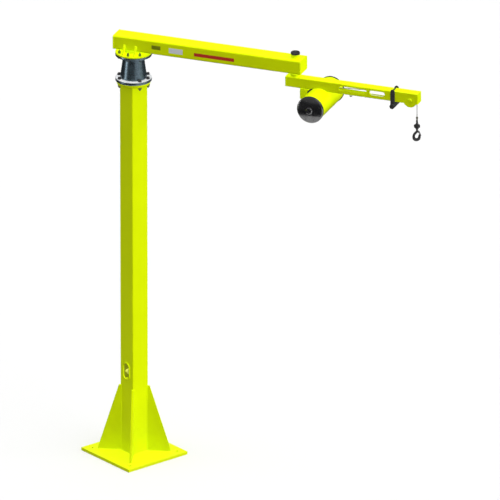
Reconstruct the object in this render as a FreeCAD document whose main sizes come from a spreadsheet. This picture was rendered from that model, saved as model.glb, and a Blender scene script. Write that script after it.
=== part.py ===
"""Articulating arm hoist: a floor column, two arms that fold at an elbow, and a balancer with rope and hook.

Millimetres. Z is up, the origin is on the floor under the column's centre line, and both arms rest along +X.
"""

import FreeCAD, Part
import math
import os

import Sketcher

SIZES = {
    "base_turn": (60, "turn of the square base about the column's centre line, degrees"),
    "plate_side": (590, "base plate, side of the square"),
    "plate_thick": (25, "base plate, thickness"),
    "anchor_spread": (470, "anchor holes, centre to centre along a side"),
    "anchor_hole": (24, "anchor hole, diameter"),
    "column_side": (155, "column tube, outside"),
    "column_wall": (6, "column tube, wall"),
    "column_corner": (8, "column tube, outside corner radius"),
    "column_length": (3085, "column tube, length"),
    "gusset_tall": (545, "base gusset, height"),
    "gusset_foot": (174, "base gusset, length of its foot"),
    "gusset_thick": (16, "base gusset, thickness"),
    "gusset_land": (11, "base gusset, flat at the top"),
    "gusset_toe": (18, "base gusset, upright at the toe"),
    "hole_height": (705, "hand hole, centre over the floor"),
    "hole_wide": (66, "hand hole, width"),
    "hole_tall": (130, "hand hole, height"),
    "frame_band": (9, "hand hole frame, width of its band"),
    "frame_proud": (5, "hand hole frame, how far it stands out"),
    "shelf_drop": (14, "inlet shelf, top below the hand hole"),
    "shelf_deep": (52, "inlet shelf, depth"),
    "shelf_wide": (100, "inlet shelf, width"),
    "shelf_thick": (6, "inlet shelf, thickness"),
    "inlet_hex": (36, "air inlet, across the hexagon's corners"),
    "inlet_side": (5, "air inlet, shift from the middle of the hand hole"),
    "inlet_hex_low": (52, "air inlet, lower face of the hexagon over the shelf"),
    "inlet_hex_tall": (34, "air inlet, height of the hexagon"),
    "inlet_pipe": (22, "air inlet, pipe diameter"),
    "inlet_tall": (89, "air inlet, whole height"),
    "top_plate_dia": (262, "column top plate, diameter"),
    "top_plate_thick": (25, "column top plate, thickness"),
    "flange_dia": (284, "bearing, spindle and arm flanges, diameter"),
    "bearing_flange_thick": (23, "bearing flange, thickness"),
    "bolt_circle": (240, "flange bolts, pitch circle"),
    "bolt_hole": (18, "flange bolts, hole diameter"),
    "housing_foot_dia": (208, "bearing housing, diameter at the foot"),
    "housing_neck_dia": (167, "bearing housing, diameter at the neck"),
    "housing_tall": (183, "bearing housing, height over its flange"),
    "housing_lip": (26, "bearing housing, height of the turned lip at the neck"),
    "spindle_dia": (90, "swivel spindle, diameter"),
    "spindle_long": (162, "swivel spindle, length below its flange"),
    "spindle_flange_thick": (18, "swivel spindle, thickness of its flange under the arm flange"),
    "running_fit": (0.05, "gap all round a turning shaft"),
    "swivel_gap": (2, "gap between the bearing housing and the spindle's flange"),
    "arm_flange_thick": (12, "arm flange, thickness"),
    "boss_dia": (146, "arm flange, diameter of the boss under the arm"),
    "boss_tall": (24, "arm flange, height of the boss under the arm"),
    "rib_reach": (43, "arm flange rib, reach from the arm's side"),
    "rib_tall": (73, "arm flange rib, height"),
    "rib_thick": (12, "arm flange rib, thickness"),
    "rib_spread": (94, "arm flange ribs, centre to centre"),
    "rib_nose": (8, "arm flange rib, upright at the toe and flat at the top"),
    "primary_tall": (111, "primary arm tube, height"),
    "primary_wide": (150, "primary arm tube, width"),
    "primary_wall": (6, "primary arm tube, wall"),
    "primary_corner": (12, "primary arm tube, outside corner radius"),
    "primary_back": (145, "primary arm tube, length behind the column's centre line"),
    "primary_past": (70, "primary arm tube, length past the elbow's centre line"),
    "primary_reach": (1341, "column's centre line to elbow's centre line"),
    "cap_thick": (6, "end caps of both arms, thickness"),
    "elbow_gap": (39, "gap between the two arms at the elbow"),
    "sleeve_dia": (66, "elbow sleeve, outside diameter"),
    "sleeve_drop": (16, "elbow sleeve, length below the primary arm"),
    "sleeve_rise": (33, "elbow sleeve, length above the primary arm"),
    "pin_dia": (44, "elbow pin, diameter"),
    "pin_head_dia": (50, "elbow pin, head diameter"),
    "pin_head_tall": (7, "elbow pin, head height"),
    "thrust_gap": (1, "gap at the elbow's thrust faces"),
    "collar_dia": (74, "elbow collar, diameter"),
    "cap_seat": (30, "elbow dust cap, lower edge over the primary arm"),
    "cap_dia": (72, "elbow dust cap, diameter"),
    "cap_wall": (4, "elbow dust cap, wall"),
    "cap_tall": (18, "elbow dust cap, height"),
    "cap_round": (7, "elbow dust cap, edge radius"),
    "secondary_side": (84, "secondary arm tube, outside"),
    "secondary_wall": (5, "secondary arm tube, wall"),
    "secondary_corner": (8, "secondary arm tube, outside corner radius"),
    "secondary_back": (68, "secondary arm tube, length behind the elbow's centre line"),
    "secondary_long": (835, "secondary arm tube, elbow's centre line to the head's seam"),
    "window_tall": (38, "arm window, height"),
    "window_a_end": (231, "long arm window, end before the head's seam"),
    "window_a_long": (229, "long arm window, length"),
    "window_b_end": (81, "short arm window, end before the head's seam"),
    "window_b_long": (128, "short arm window, length"),
    "underside_start": (222, "slot in the underside, start before the head's seam"),
    "underside_end": (60, "slot in the underside, end before the head's seam"),
    "underside_wide": (64, "slot in the underside, width"),
    "window_rise": (4, "arm windows, centre above the tube's centre line"),
    "window_a_rear": (50, "long arm window, height in the rear wall"),
    "window_b_rear": (60, "short arm window, height in the rear wall"),
    "window_shift": (26, "arm windows, how far those in the rear wall lie nearer to the elbow"),
    "window_corner": (8, "arm windows, corner radius in the rear wall"),
    "head_long": (189, "head, length past the seam"),
    "head_plate": (6, "head plates, thickness"),
    "head_floor": (64, "head floor plate, length"),
    "lobe_radius": (56, "head cheek, radius round the sheave's pin"),
    "sheave_reach": (126, "head's seam to sheave pin"),
    "sheave_rise": (26, "sheave pin over the underside of the secondary arm"),
    "sheave_pitch": (44, "sheave, radius to the rope's centre"),
    "sheave_rim": (47, "sheave, rim radius"),
    "sheave_wide": (24, "sheave, width at the rim"),
    "sheave_hub": (19, "sheave, hub radius"),
    "sheave_web": (8, "sheave, web thickness"),
    "groove_gap": (0.3, "gap between the rope and the groove"),
    "axle_dia": (20, "sheave pin, diameter"),
    "axle_collar": (32, "sheave pin, spacer diameter"),
    "axle_gap": (0.5, "sheave pin, gap at each side of the sheave"),
    "axle_proud": (5, "sheave pin, length past each cheek"),
    "rope_dia": (6.4, "rope, diameter"),
    "balancer_reach": (214, "elbow's centre line to the balancer's axis"),
    "balancer_nest": (22, "balancer, depth nested into the arm"),
    "barrel_dia": (208, "balancer barrel, outside diameter"),
    "barrel_wall": (7, "balancer barrel, wall"),
    "barrel_long": (440, "balancer barrel, length"),
    "barrel_shift": (10, "balancer barrel, shift of its middle toward the front of the arm"),
    "cover_dia": (216, "balancer cover, rim diameter"),
    "cover_rim": (20, "balancer cover, rim thickness"),
    "cover_edge": (6, "balancer cover, bevel of its rim"),
    "cover_dome": (16, "balancer cover, height of its dome over the rim"),
    "cover_hub_dia": (54, "balancer cover, hub diameter"),
    "cover_hub_tall": (24, "balancer cover, hub height over the rim"),
    "cover_hub_edge": (7, "balancer cover, bevel of its hub"),
    "cover_port": (22, "balancer cover, port diameter"),
    "cover_port_deep": (12, "balancer cover, port depth"),
    "cover_spigot": (18, "balancer cover, depth of the spigot inside the barrel"),
    "hanger_start": (53, "balancer hanger, start past the elbow's centre line"),
    "hanger_drop": (85, "balancer hanger, depth below the arm"),
    "hanger_plate": (8, "balancer hanger, plate thickness"),
    "outlet_start": (6, "rope outlet, start past the balancer's axis"),
    "outlet_long": (46, "rope outlet, length"),
    "outlet_dia": (26, "rope outlet, diameter"),
    "outlet_rise": (28, "rope outlet, axis over the underside of the arm"),
    "bumper_back": (15, "bumper, middle before the head's seam"),
    "bumper_wide": (35, "bumper hanger, width"),
    "bumper_plate": (6, "bumper hanger, thickness"),
    "bumper_rise": (15, "bumper hanger, top above the arm"),
    "bumper_tie_dia": (11, "bumper tie rod, diameter"),
    "bumper_dia": (40, "bumper roller, diameter"),
    "bumper_long": (128, "bumper roller, length"),
    "bumper_drop": (37, "bumper roller, axis below the arm"),
    "bumper_round": (4, "bumper roller, edge radius"),
    "rope_drop_long": (142, "rope below the sheave's pin, at rest"),
    "socket_dia": (16, "rope socket, ferrule diameter"),
    "socket_tall": (21, "rope socket, ferrule height"),
    "stem_dia": (11, "rope socket, stem diameter"),
    "stem_tall": (42, "rope socket, stem height"),
    "swivel_dia": (48, "swivel body, diameter"),
    "swivel_tall": (30, "swivel body, height"),
    "swivel_edge": (7, "swivel body, height of its tapered ends"),
    "hook_neck": (14, "hook, height of its collar under the swivel body"),
    "hook_neck_dia": (30, "hook, diameter of its collar"),
    "hook_neck_gap": (0.5, "hook, gap between its collar and the swivel body"),
    "swivel_end_dia": (28, "swivel body, diameter at its ends"),
    "shank_end": (2, "gap over the shank inside the swivel body"),
    "shank_dia": (16, "hook, shank diameter"),
    "shank_long": (14, "hook, shank length below the swivel body"),
    "shank_seat": (20, "hook, shank length inside the swivel body"),
    "hook_turn": (240, "hook, turn about the rope, degrees"),
    "hook_radius": (32, "hook, radius of its centre line"),
    "hook_drop": (52, "hook, collar to the centre of the bowl"),
    "hook_back_dia": (20, "hook, section at the back"),
    "hook_bowl_dia": (24, "hook, section at the bowl"),
    "hook_point_dia": (18, "hook, section below the point"),
    "hook_tip_dia": (8, "hook, section at the point"),
    "latch_wide": (14, "hook latch, width"),
    "latch_sheet": (2, "hook latch, sheet thickness"),
    "latch_pin": (6, "hook latch, pin diameter"),
    "latch_eye": (13, "hook latch, eye diameter"),
    "latch_lug": (7, "hook latch, lug thickness"),
    "latch_side": (0.5, "hook latch, gap at each side of the lug"),
    "latch_out": (15, "hook latch, pin in front of the shank's centre line"),
    "latch_drop": (20, "hook latch, pin below the hook's collar"),
    "latch_gap": (2, "hook latch, sheet to the hook's point"),
}


# sections along the hook: degrees round the bowl from the back, and the size across
HOOK_SECTIONS = (
    (45, "hook_back_dia"),
    (0, "hook_back_dia"),
    (-45, "hook_bowl_dia"),
    (-90, "hook_bowl_dia"),
    (-135, "hook_bowl_dia"),
    (-180, "hook_point_dia"),
    (-205, "hook_tip_dia"),
)
# rings of the balancer covers' domes, as shares of the dome's radius
DOME_SHARES = (1, 0.92, 0.82, 0.7, 0.56, 0.4)

POINT_ACROSS = math.cos(math.radians(25))
POINT_UP = math.sin(math.radians(25))


class Size:
    """A number together with the sheet expression it comes from."""

    def __init__(self, value, text):
        self.value = value
        self.text = text

    @staticmethod
    def of(other):
        return other if isinstance(other, Size) else Size(float(other), repr(float(other)))

    def __add__(self, other):
        other = Size.of(other)
        return Size(self.value + other.value, f"({self.text} + {other.text})")

    def __radd__(self, other):
        return Size.of(other) + self

    def __sub__(self, other):
        other = Size.of(other)
        return Size(self.value - other.value, f"({self.text} - {other.text})")

    def __rsub__(self, other):
        return Size.of(other) - self

    def __mul__(self, other):
        other = Size.of(other)
        return Size(self.value * other.value, f"({self.text} * {other.text})")

    def __rmul__(self, other):
        return Size.of(other) * self

    def __truediv__(self, other):
        other = Size.of(other)
        return Size(self.value / other.value, f"({self.text} / {other.text})")

    def __neg__(self):
        return Size(-self.value, f"(0 - {self.text})")


def root(size):
    """Square root of a Size."""
    return Size(math.sqrt(size.value), f"sqrt({size.text})")


doc = FreeCAD.newDocument("ArmHoist")
sheet = doc.addObject("Spreadsheet::Sheet", "Sizes")
for row, (name, (value, note)) in enumerate(SIZES.items(), start=1):
    sheet.set(f"A{row}", name)
    sheet.set(f"B{row}", str(value))
    sheet.set(f"C{row}", note)
    sheet.setAlias(f"B{row}", name)
doc.recompute()


def size(name):
    """One named value of the sheet."""
    return Size(float(SIZES[name][0]), f"Sizes.{name}")


nodes = []


def bind(obj, prop, amount):
    """Set a property and tie it to its sheet expression."""
    obj.setExpression(prop, Size.of(amount).text)


def place(obj, x=0, y=0, z=0, turn=None):
    """Put an object at a point, turned about Z when an angle is given."""
    for letter, amount in (("x", x), ("y", y), ("z", z)):
        bind(obj, f"Placement.Base.{letter}", amount)
    if turn is not None:
        bind(obj, "Placement.Rotation.Angle", turn)
    return obj


def node(obj, label):
    """Name an object as one piece of the assembly."""
    obj.Label = label
    nodes.append(obj)
    return obj


def vector(x, y):
    """A sketch point as a vector."""
    return FreeCAD.Vector(Size.of(x).value, Size.of(y).value, 0)


def new_body(label):
    """An empty body that becomes one piece of the assembly."""
    return node(doc.addObject("PartDesign::Body", label), label)


def new_sketch(body, plane, offset=None):
    """A sketch on one of the body's own planes, moved along the plane's normal when asked."""
    drawn = body.newObject("Sketcher::SketchObject", f"{body.Name}_sketch")
    support = [f for f in body.Origin.OriginFeatures if f.Role == f"{plane}_Plane"][0]
    drawn.AttachmentSupport = [(support, "")]
    drawn.MapMode = "FlatFace"
    if offset is not None:
        bind(drawn, "AttachmentOffset.Base.z", offset)
    return drawn


def fix(drawn, geometry, point, x, y):
    """Hold a sketch point at x, y from the sketch's origin."""
    for kind, axis, amount in (("DistanceX", -2, Size.of(x)), ("DistanceY", -1, Size.of(y))):
        if amount.text == "0.0":
            drawn.addConstraint(Sketcher.Constraint("PointOnObject", geometry, point, axis))
        else:
            rule = Sketcher.Constraint(kind, -1, 1, geometry, point, amount.value)
            bind(drawn, f"Constraints[{drawn.addConstraint(rule)}]", amount)


def radius(drawn, geometry, amount):
    """Hold the radius of a circle or an arc."""
    rule = Sketcher.Constraint("Radius", geometry, Size.of(amount).value)
    bind(drawn, f"Constraints[{drawn.addConstraint(rule)}]", amount)


def outline(drawn, points):
    """A closed run of straight lines through the points."""
    ends = points[1:] + points[:1]
    lines = [
        drawn.addGeometry(Part.LineSegment(vector(*a), vector(*b)), False) for a, b in zip(points, ends)
    ]
    for line, after in zip(lines, lines[1:] + lines[:1]):
        drawn.addConstraint(Sketcher.Constraint("Coincident", line, 2, after, 1))
    for line, (x, y) in zip(lines, points):
        fix(drawn, line, 1, x, y)


def circle(drawn, x, y, r):
    """A full circle."""
    ring = drawn.addGeometry(Part.Circle(vector(x, y), FreeCAD.Vector(0, 0, 1), Size.of(r).value), False)
    fix(drawn, ring, 3, x, y)
    radius(drawn, ring, r)


def rounded(drawn, x, y, wide, tall, r):
    """A rectangle with round corners, centred on x, y."""
    x, y, r = Size.of(x), Size.of(y), Size.of(r)
    left, right = x - wide / 2, x + wide / 2
    low, high = y - tall / 2, y + tall / 2
    sides = [
        ((left + r, low), (right - r, low)),
        ((right, low + r), (right, high - r)),
        ((right - r, high), (left + r, high)),
        ((left, high - r), (left, low + r)),
    ]
    centres = [(right - r, low + r), (right - r, high - r), (left + r, high - r), (left + r, low + r)]
    lines = [drawn.addGeometry(Part.LineSegment(vector(*a), vector(*b)), False) for a, b in sides]
    arcs = []
    for quarter, centre in enumerate(centres):
        ring = Part.Circle(vector(*centre), FreeCAD.Vector(0, 0, 1), r.value)
        start = math.radians(90 * quarter - 90)
        arcs.append(drawn.addGeometry(Part.ArcOfCircle(ring, start, start + math.pi / 2), False))
    for i in range(4):
        drawn.addConstraint(Sketcher.Constraint("Tangent", lines[i], 2, arcs[i], 1))
        drawn.addConstraint(Sketcher.Constraint("Tangent", arcs[i], 2, lines[(i + 1) % 4], 1))
        kind = "Horizontal" if i % 2 == 0 else "Vertical"
        drawn.addConstraint(Sketcher.Constraint(kind, lines[i]))
        if i:
            drawn.addConstraint(Sketcher.Constraint("Equal", arcs[0], arcs[i]))
    radius(drawn, arcs[0], r)
    for line, kind, amount in (
        (lines[0], "DistanceY", low),
        (lines[1], "DistanceX", right),
        (lines[2], "DistanceY", high),
        (lines[3], "DistanceX", left),
    ):
        rule = Sketcher.Constraint(kind, -1, 1, line, 1, amount.value)
        bind(drawn, f"Constraints[{drawn.addConstraint(rule)}]", amount)


def obround(drawn, x, y, wide, tall):
    """A slot with half-round ends along its longer side, centred on x, y."""
    x, y = Size.of(x), Size.of(y)
    upright = tall.value > wide.value
    r = (wide if upright else tall) / 2
    run = (tall - wide) / 2 if upright else (wide - tall) / 2
    along = (0, run) if upright else (run, 0)
    across = (r, 0) if upright else (0, -r)
    near = (x - along[0], y - along[1])
    far = (x + along[0], y + along[1])
    one = drawn.addGeometry(
        Part.LineSegment(
            vector(near[0] + across[0], near[1] + across[1]), vector(far[0] + across[0], far[1] + across[1])
        ),
        False,
    )
    two = drawn.addGeometry(
        Part.LineSegment(
            vector(far[0] - across[0], far[1] - across[1]), vector(near[0] - across[0], near[1] - across[1])
        ),
        False,
    )
    start = 0 if upright else -math.pi / 2
    axis = FreeCAD.Vector(0, 0, 1)
    far_arc = drawn.addGeometry(
        Part.ArcOfCircle(Part.Circle(vector(*far), axis, r.value), start, start + math.pi), False
    )
    near_arc = drawn.addGeometry(
        Part.ArcOfCircle(Part.Circle(vector(*near), axis, r.value), start + math.pi, start + 2 * math.pi), False
    )
    for a, b in ((one, far_arc), (far_arc, two), (two, near_arc), (near_arc, one)):
        drawn.addConstraint(Sketcher.Constraint("Tangent", a, 2, b, 1))
    fix(drawn, far_arc, 3, *far)
    fix(drawn, near_arc, 3, *near)
    radius(drawn, far_arc, r)


def pad(body, drawn, length, symmetric=False, back=False):
    """Raise a sketch into a solid."""
    raised = body.newObject("PartDesign::Pad", f"{body.Name}_pad")
    raised.Profile = drawn
    raised.SideType = "Symmetric" if symmetric else "One side"
    raised.Reversed = back
    bind(raised, "Length", length)
    return raised


def pocket(body, drawn, length=None, symmetric=False, back=False):
    """Cut a sketch out of the body, right through when no length is given."""
    cut = body.newObject("PartDesign::Pocket", f"{body.Name}_pocket")
    cut.Profile = drawn
    cut.SideType = "Symmetric" if symmetric else "One side"
    cut.Reversed = back
    if length is None:
        cut.Type = "ThroughAll"
    else:
        bind(cut, "Length", length)
    return cut


def revolve(body, points, axis="V_Axis", plane="XZ"):
    """Turn a half profile about a sketch axis into a solid."""
    drawn = new_sketch(body, plane)
    outline(drawn, points)
    turned = body.newObject("PartDesign::Revolution", f"{body.Name}_turned")
    turned.Profile = drawn
    turned.ReferenceAxis = (drawn, [axis])
    turned.Angle = 360
    return turned


def around(body, feature, count):
    """Repeat a feature round the body's own Z axis."""
    doc.recompute()
    pattern = body.newObject("PartDesign::PolarPattern", f"{body.Name}_ring")
    pattern.Originals = [feature]
    pattern.Axis = ([f for f in body.Origin.OriginFeatures if f.Role == "Z_Axis"][0], [""])
    pattern.Angle = 360
    pattern.Occurrences = count
    body.Tip = pattern


def ring_of_holes(body, pitch, hole, count):
    """Holes through the body on a pitch circle about its own Z axis."""
    drawn = new_sketch(body, "XY")
    circle(drawn, pitch / 2, 0, hole / 2)
    around(body, pocket(body, drawn, symmetric=True), count)


def soften(body, amount, chosen):
    """Round the edges of the body's last feature that the test picks."""
    doc.recompute()
    last = body.Tip
    names = [f"Edge{i}" for i, edge in enumerate(last.Shape.Edges, start=1) if chosen(edge)]
    fillet = body.newObject("PartDesign::Fillet", f"{body.Name}_round")
    fillet.Base = (last, names)
    bind(fillet, "Radius", amount)
    return fillet


def block(label, x, y, z, at):
    """A plain plate or block with its low corner at a point."""
    solid = node(doc.addObject("Part::Box", label), label)
    for prop, amount in (("Length", x), ("Width", y), ("Height", z)):
        bind(solid, prop, amount)
    return place(solid, *at)


s = {name: size(name) for name in SIZES}

# heights over the floor
column_top = s["plate_thick"] + s["column_length"]
bearing_seat = column_top + s["top_plate_thick"]
housing_foot = bearing_seat + s["bearing_flange_thick"]
housing_top = housing_foot + s["housing_tall"]
spindle_level = housing_top + s["swivel_gap"]
arm_flange_low = spindle_level + s["spindle_flange_thick"]
arm_flange_high = arm_flange_low + s["arm_flange_thick"]
primary_low = arm_flange_high + s["boss_tall"]
primary_high = primary_low + s["primary_tall"]
secondary_high = primary_low - s["elbow_gap"]
secondary_low = secondary_high - s["secondary_side"]
sheave_level = secondary_low + s["sheave_rise"]
balancer_level = secondary_low - s["barrel_dia"] / 2 + s["balancer_nest"]
bumper_level = secondary_low - s["bumper_drop"]
socket_high = sheave_level - s["rope_drop_long"]
swivel_high = socket_high - s["socket_tall"] - s["stem_tall"]
collar_level = swivel_high - s["swivel_tall"] - s["hook_neck"]

# places along the arms
elbow_x = s["primary_reach"]
seam_x = elbow_x + s["secondary_long"]
tip_x = seam_x + s["head_long"]
sheave_x = seam_x + s["sheave_reach"]
rope_x = sheave_x + s["sheave_pitch"]
balancer_x = elbow_x + s["balancer_reach"]
bumper_x = seam_x - s["bumper_back"]
arm_side = s["secondary_side"] / 2
cheek_inside = arm_side - s["head_plate"]


def base_plate():
    """Square floor plate with four anchor holes."""
    body = new_body("base_plate")
    drawn = new_sketch(body, "XY")
    half = s["plate_side"] / 2
    outline(drawn, [(-half, -half), (half, -half), (half, half), (-half, half)])
    reach = s["anchor_spread"] / 2
    for x, y in ((reach, reach), (-reach, reach), (-reach, -reach), (reach, -reach)):
        circle(drawn, x, y, s["anchor_hole"] / 2)
    pad(body, drawn, s["plate_thick"])
    place(body, turn=s["base_turn"])


def gussets():
    """Four tapered plates from the tube's corners to the plate's corners."""
    corner = root(s["column_side"] * s["column_side"] / 2)
    inside = corner - s["gusset_thick"]
    body = new_body("base_gussets")
    body.AllowCompound = True
    drawn = new_sketch(body, "XZ")
    outline(
        drawn,
        [
            (inside, 0),
            (corner + s["gusset_foot"], 0),
            (corner + s["gusset_foot"], s["gusset_toe"]),
            (corner + s["gusset_land"], s["gusset_tall"]),
            (inside, s["gusset_tall"]),
        ],
    )
    around(body, pad(body, drawn, s["gusset_thick"], symmetric=True), 4)
    tube = new_sketch(body, "XY")
    outline(tube, [(corner, 0), (0, corner), (-corner, 0), (0, -corner)])
    pocket(body, tube, symmetric=True)
    place(body, z=s["plate_thick"], turn=s["base_turn"] + 45)


def column_tube():
    """Square tube with a hand hole through one wall."""
    body = new_body("column_tube")
    drawn = new_sketch(body, "XY")
    inside = s["column_side"] - s["column_wall"] * 2
    rounded(drawn, 0, 0, s["column_side"], s["column_side"], s["column_corner"])
    rounded(drawn, 0, 0, inside, inside, s["column_corner"] - s["column_wall"])
    pad(body, drawn, s["column_length"])
    opening = new_sketch(body, "YZ")
    obround(opening, 0, s["hole_height"] - s["plate_thick"], s["hole_wide"], s["hole_tall"])
    pocket(body, opening)
    place(body, z=s["plate_thick"], turn=s["base_turn"])


def hand_hole_frame():
    """Raised band round the hand hole."""
    body = new_body("hand_hole_frame")
    drawn = new_sketch(body, "YZ", -(s["column_side"] / 2))
    band = s["frame_band"] * 2
    obround(drawn, 0, s["hole_height"], s["hole_wide"] + band, s["hole_tall"] + band)
    obround(drawn, 0, s["hole_height"], s["hole_wide"], s["hole_tall"])
    pad(body, drawn, s["frame_proud"], back=True)
    place(body, turn=s["base_turn"])


def air_inlet():
    """Pipe stub on a hexagon, standing on a small shelf behind the hand hole."""
    shelf_top = s["hole_height"] - s["hole_tall"] / 2 - s["shelf_drop"]
    inner_wall = -(s["column_side"] / 2 - s["column_wall"])
    shelf = new_body("inlet_shelf")
    drawn = new_sketch(shelf, "XY")
    half = s["shelf_wide"] / 2
    outer = inner_wall + s["shelf_deep"]
    outline(drawn, [(inner_wall, -half), (outer, -half), (outer, half), (inner_wall, half)])
    pad(shelf, drawn, s["shelf_thick"], back=True)
    place(shelf, z=shelf_top, turn=s["base_turn"])

    inlet = new_body("air_inlet")
    hexagon = new_sketch(inlet, "XY", s["inlet_hex_low"])
    middle = inner_wall + s["shelf_deep"] / 2
    reach = s["inlet_hex"] / 2
    rise = root(reach * reach * 0.75)
    aside = s["inlet_side"]
    outline(
        hexagon,
        [
            (middle + reach, aside),
            (middle + reach / 2, aside + rise),
            (middle - reach / 2, aside + rise),
            (middle - reach, aside),
            (middle - reach / 2, aside - rise),
            (middle + reach / 2, aside - rise),
        ],
    )
    pipe = new_sketch(inlet, "XY")
    circle(pipe, middle, aside, s["inlet_pipe"] / 2)
    pad(inlet, pipe, s["inlet_tall"])
    pad(inlet, hexagon, s["inlet_hex_tall"])
    place(inlet, z=shelf_top, turn=s["base_turn"])


def column_head():
    """Round top plate, bolted bearing flange and tapered bearing housing."""
    plate = new_body("column_top_plate")
    drawn = new_sketch(plate, "XY")
    circle(drawn, 0, 0, s["top_plate_dia"] / 2)
    pad(plate, drawn, s["top_plate_thick"])
    ring_of_holes(plate, s["bolt_circle"], s["bolt_hole"], 8)
    place(plate, z=column_top)

    flange = new_body("bearing_flange")
    drawn = new_sketch(flange, "XY")
    circle(drawn, 0, 0, s["flange_dia"] / 2)
    pad(flange, drawn, s["bearing_flange_thick"])
    ring_of_holes(flange, s["bolt_circle"], s["bolt_hole"], 8)
    place(flange, z=bearing_seat)

    housing = new_body("bearing_housing")
    bore = s["spindle_dia"] / 2 + s["running_fit"]
    neck = s["housing_neck_dia"] / 2
    foot = s["housing_foot_dia"] / 2
    shoulder = s["housing_tall"] - s["housing_lip"]
    revolve(
        housing,
        [
            (bore, 0),
            (foot, 0),
            (foot, s["housing_lip"] / 4),
            (neck, shoulder),
            (neck, s["housing_tall"]),
            (bore, s["housing_tall"]),
        ],
    )
    place(housing, z=housing_foot)


def swivel():
    """Flanged spindle, arm flange and ribs that carry the primary arm."""
    spindle = new_body("swivel_spindle")
    drawn = new_sketch(spindle, "XY")
    circle(drawn, 0, 0, s["spindle_dia"] / 2)
    pad(spindle, drawn, s["spindle_long"], back=True)
    disc = new_sketch(spindle, "XY")
    circle(disc, 0, 0, s["flange_dia"] / 2)
    pad(spindle, disc, s["spindle_flange_thick"])
    ring_of_holes(spindle, s["bolt_circle"], s["bolt_hole"], 8)
    place(spindle, z=spindle_level)

    flange = new_body("arm_flange")
    drawn = new_sketch(flange, "XY")
    circle(drawn, 0, 0, s["flange_dia"] / 2)
    pad(flange, drawn, s["arm_flange_thick"])
    boss = new_sketch(flange, "XY")
    circle(boss, 0, 0, s["boss_dia"] / 2)
    pad(flange, boss, s["arm_flange_thick"] + s["boss_tall"])
    ring_of_holes(flange, s["bolt_circle"], s["bolt_hole"], 8)
    place(flange, z=arm_flange_low)

    ribs = new_body("flange_ribs")
    near = s["primary_wide"] / 2
    for side in (1, -1):
        for end in (1, -1):
            drawn = new_sketch(ribs, "YZ", s["rib_spread"] / 2 * end)
            outline(
                drawn,
                [
                    (near * side, 0),
                    ((near + s["rib_reach"]) * side, 0),
                    ((near + s["rib_reach"]) * side, s["rib_nose"]),
                    ((near + s["rib_nose"]) * side, s["rib_tall"]),
                    (near * side, s["rib_tall"]),
                ],
            )
            pad(ribs, drawn, s["rib_thick"], symmetric=True)
    ribs.AllowCompound = True
    place(ribs, z=arm_flange_high)


def end_cap(label, wide, tall, corner, at, back=False):
    """Closing plate on the end of an arm tube."""
    body = new_body(label)
    drawn = new_sketch(body, "YZ")
    rounded(drawn, 0, tall / 2, wide, tall, corner)
    pad(body, drawn, s["cap_thick"], back=back)
    place(body, *at)


def primary_arm():
    """Rectangular tube from the column to the elbow, with its end caps."""
    body = new_body("primary_tube")
    drawn = new_sketch(body, "YZ", -s["primary_back"] + s["cap_thick"])
    wall = s["primary_wall"] * 2
    middle = s["primary_tall"] / 2
    rounded(drawn, 0, middle, s["primary_wide"], s["primary_tall"], s["primary_corner"])
    rounded(
        drawn,
        0,
        middle,
        s["primary_wide"] - wall,
        s["primary_tall"] - wall,
        s["primary_corner"] - s["primary_wall"],
    )
    length = s["primary_back"] + s["primary_reach"] + s["primary_past"] - s["cap_thick"] * 2
    pad(body, drawn, length)
    bored = new_sketch(body, "XY")
    circle(bored, elbow_x, 0, s["sleeve_dia"] / 2)
    pocket(body, bored, symmetric=True)
    place(body, z=primary_low)
    across = (s["primary_wide"], s["primary_tall"], s["primary_corner"])
    end_cap("primary_rear_cap", *across, (s["cap_thick"] - s["primary_back"], 0, primary_low), back=True)
    end_cap("primary_front_cap", *across, (elbow_x + s["primary_past"] - s["cap_thick"], 0, primary_low))


def elbow():
    """Sleeve in the primary arm, headed pin and collar of the secondary arm, and the dust cap."""
    shaft = s["pin_dia"] / 2
    sleeve_low = primary_low - s["sleeve_drop"]
    sleeve_high = primary_high + s["sleeve_rise"]
    sleeve = new_body("elbow_sleeve")
    bore = shaft + s["running_fit"]
    tall = s["sleeve_drop"] + s["primary_tall"] + s["sleeve_rise"]
    outer = s["sleeve_dia"] / 2
    revolve(sleeve, [(bore, 0), (outer, 0), (outer, tall), (bore, tall)])
    place(sleeve, elbow_x, 0, sleeve_low)

    cap = new_body("elbow_cap")
    rim = s["cap_dia"] / 2
    ceiling = s["cap_tall"] - s["cap_wall"]
    revolve(
        cap,
        [(outer, 0), (rim, 0), (rim, s["cap_tall"]), (0, s["cap_tall"]), (0, ceiling), (outer, ceiling)],
    )
    soften(cap, s["cap_round"], lambda edge: round_edge(edge, s["cap_tall"].value, rim.value))
    place(cap, elbow_x, 0, primary_high + s["cap_seat"])

    pin = new_body("elbow_pin")
    head_low = sleeve_high - secondary_low + s["thrust_gap"]
    head_high = head_low + s["pin_head_tall"]
    head = s["pin_head_dia"] / 2
    revolve(pin, [(0, 0), (shaft, 0), (shaft, head_low), (head, head_low), (head, head_high), (0, head_high)])
    place(pin, elbow_x, 0, secondary_low)

    collar = new_body("elbow_collar")
    thick = s["elbow_gap"] - s["sleeve_drop"] - s["thrust_gap"]
    edge = s["collar_dia"] / 2
    revolve(collar, [(shaft, 0), (edge, 0), (edge, thick), (shaft, thick)])
    place(collar, elbow_x, 0, secondary_high)


def round_edge(edge, level, reach):
    """Whether an edge is the circle of a radius at a height."""
    curve = edge.Curve
    if not isinstance(curve, Part.Circle):
        return False
    return abs(curve.Radius - reach) < 0.01 and abs(curve.Center.z - level) < 0.01


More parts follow.
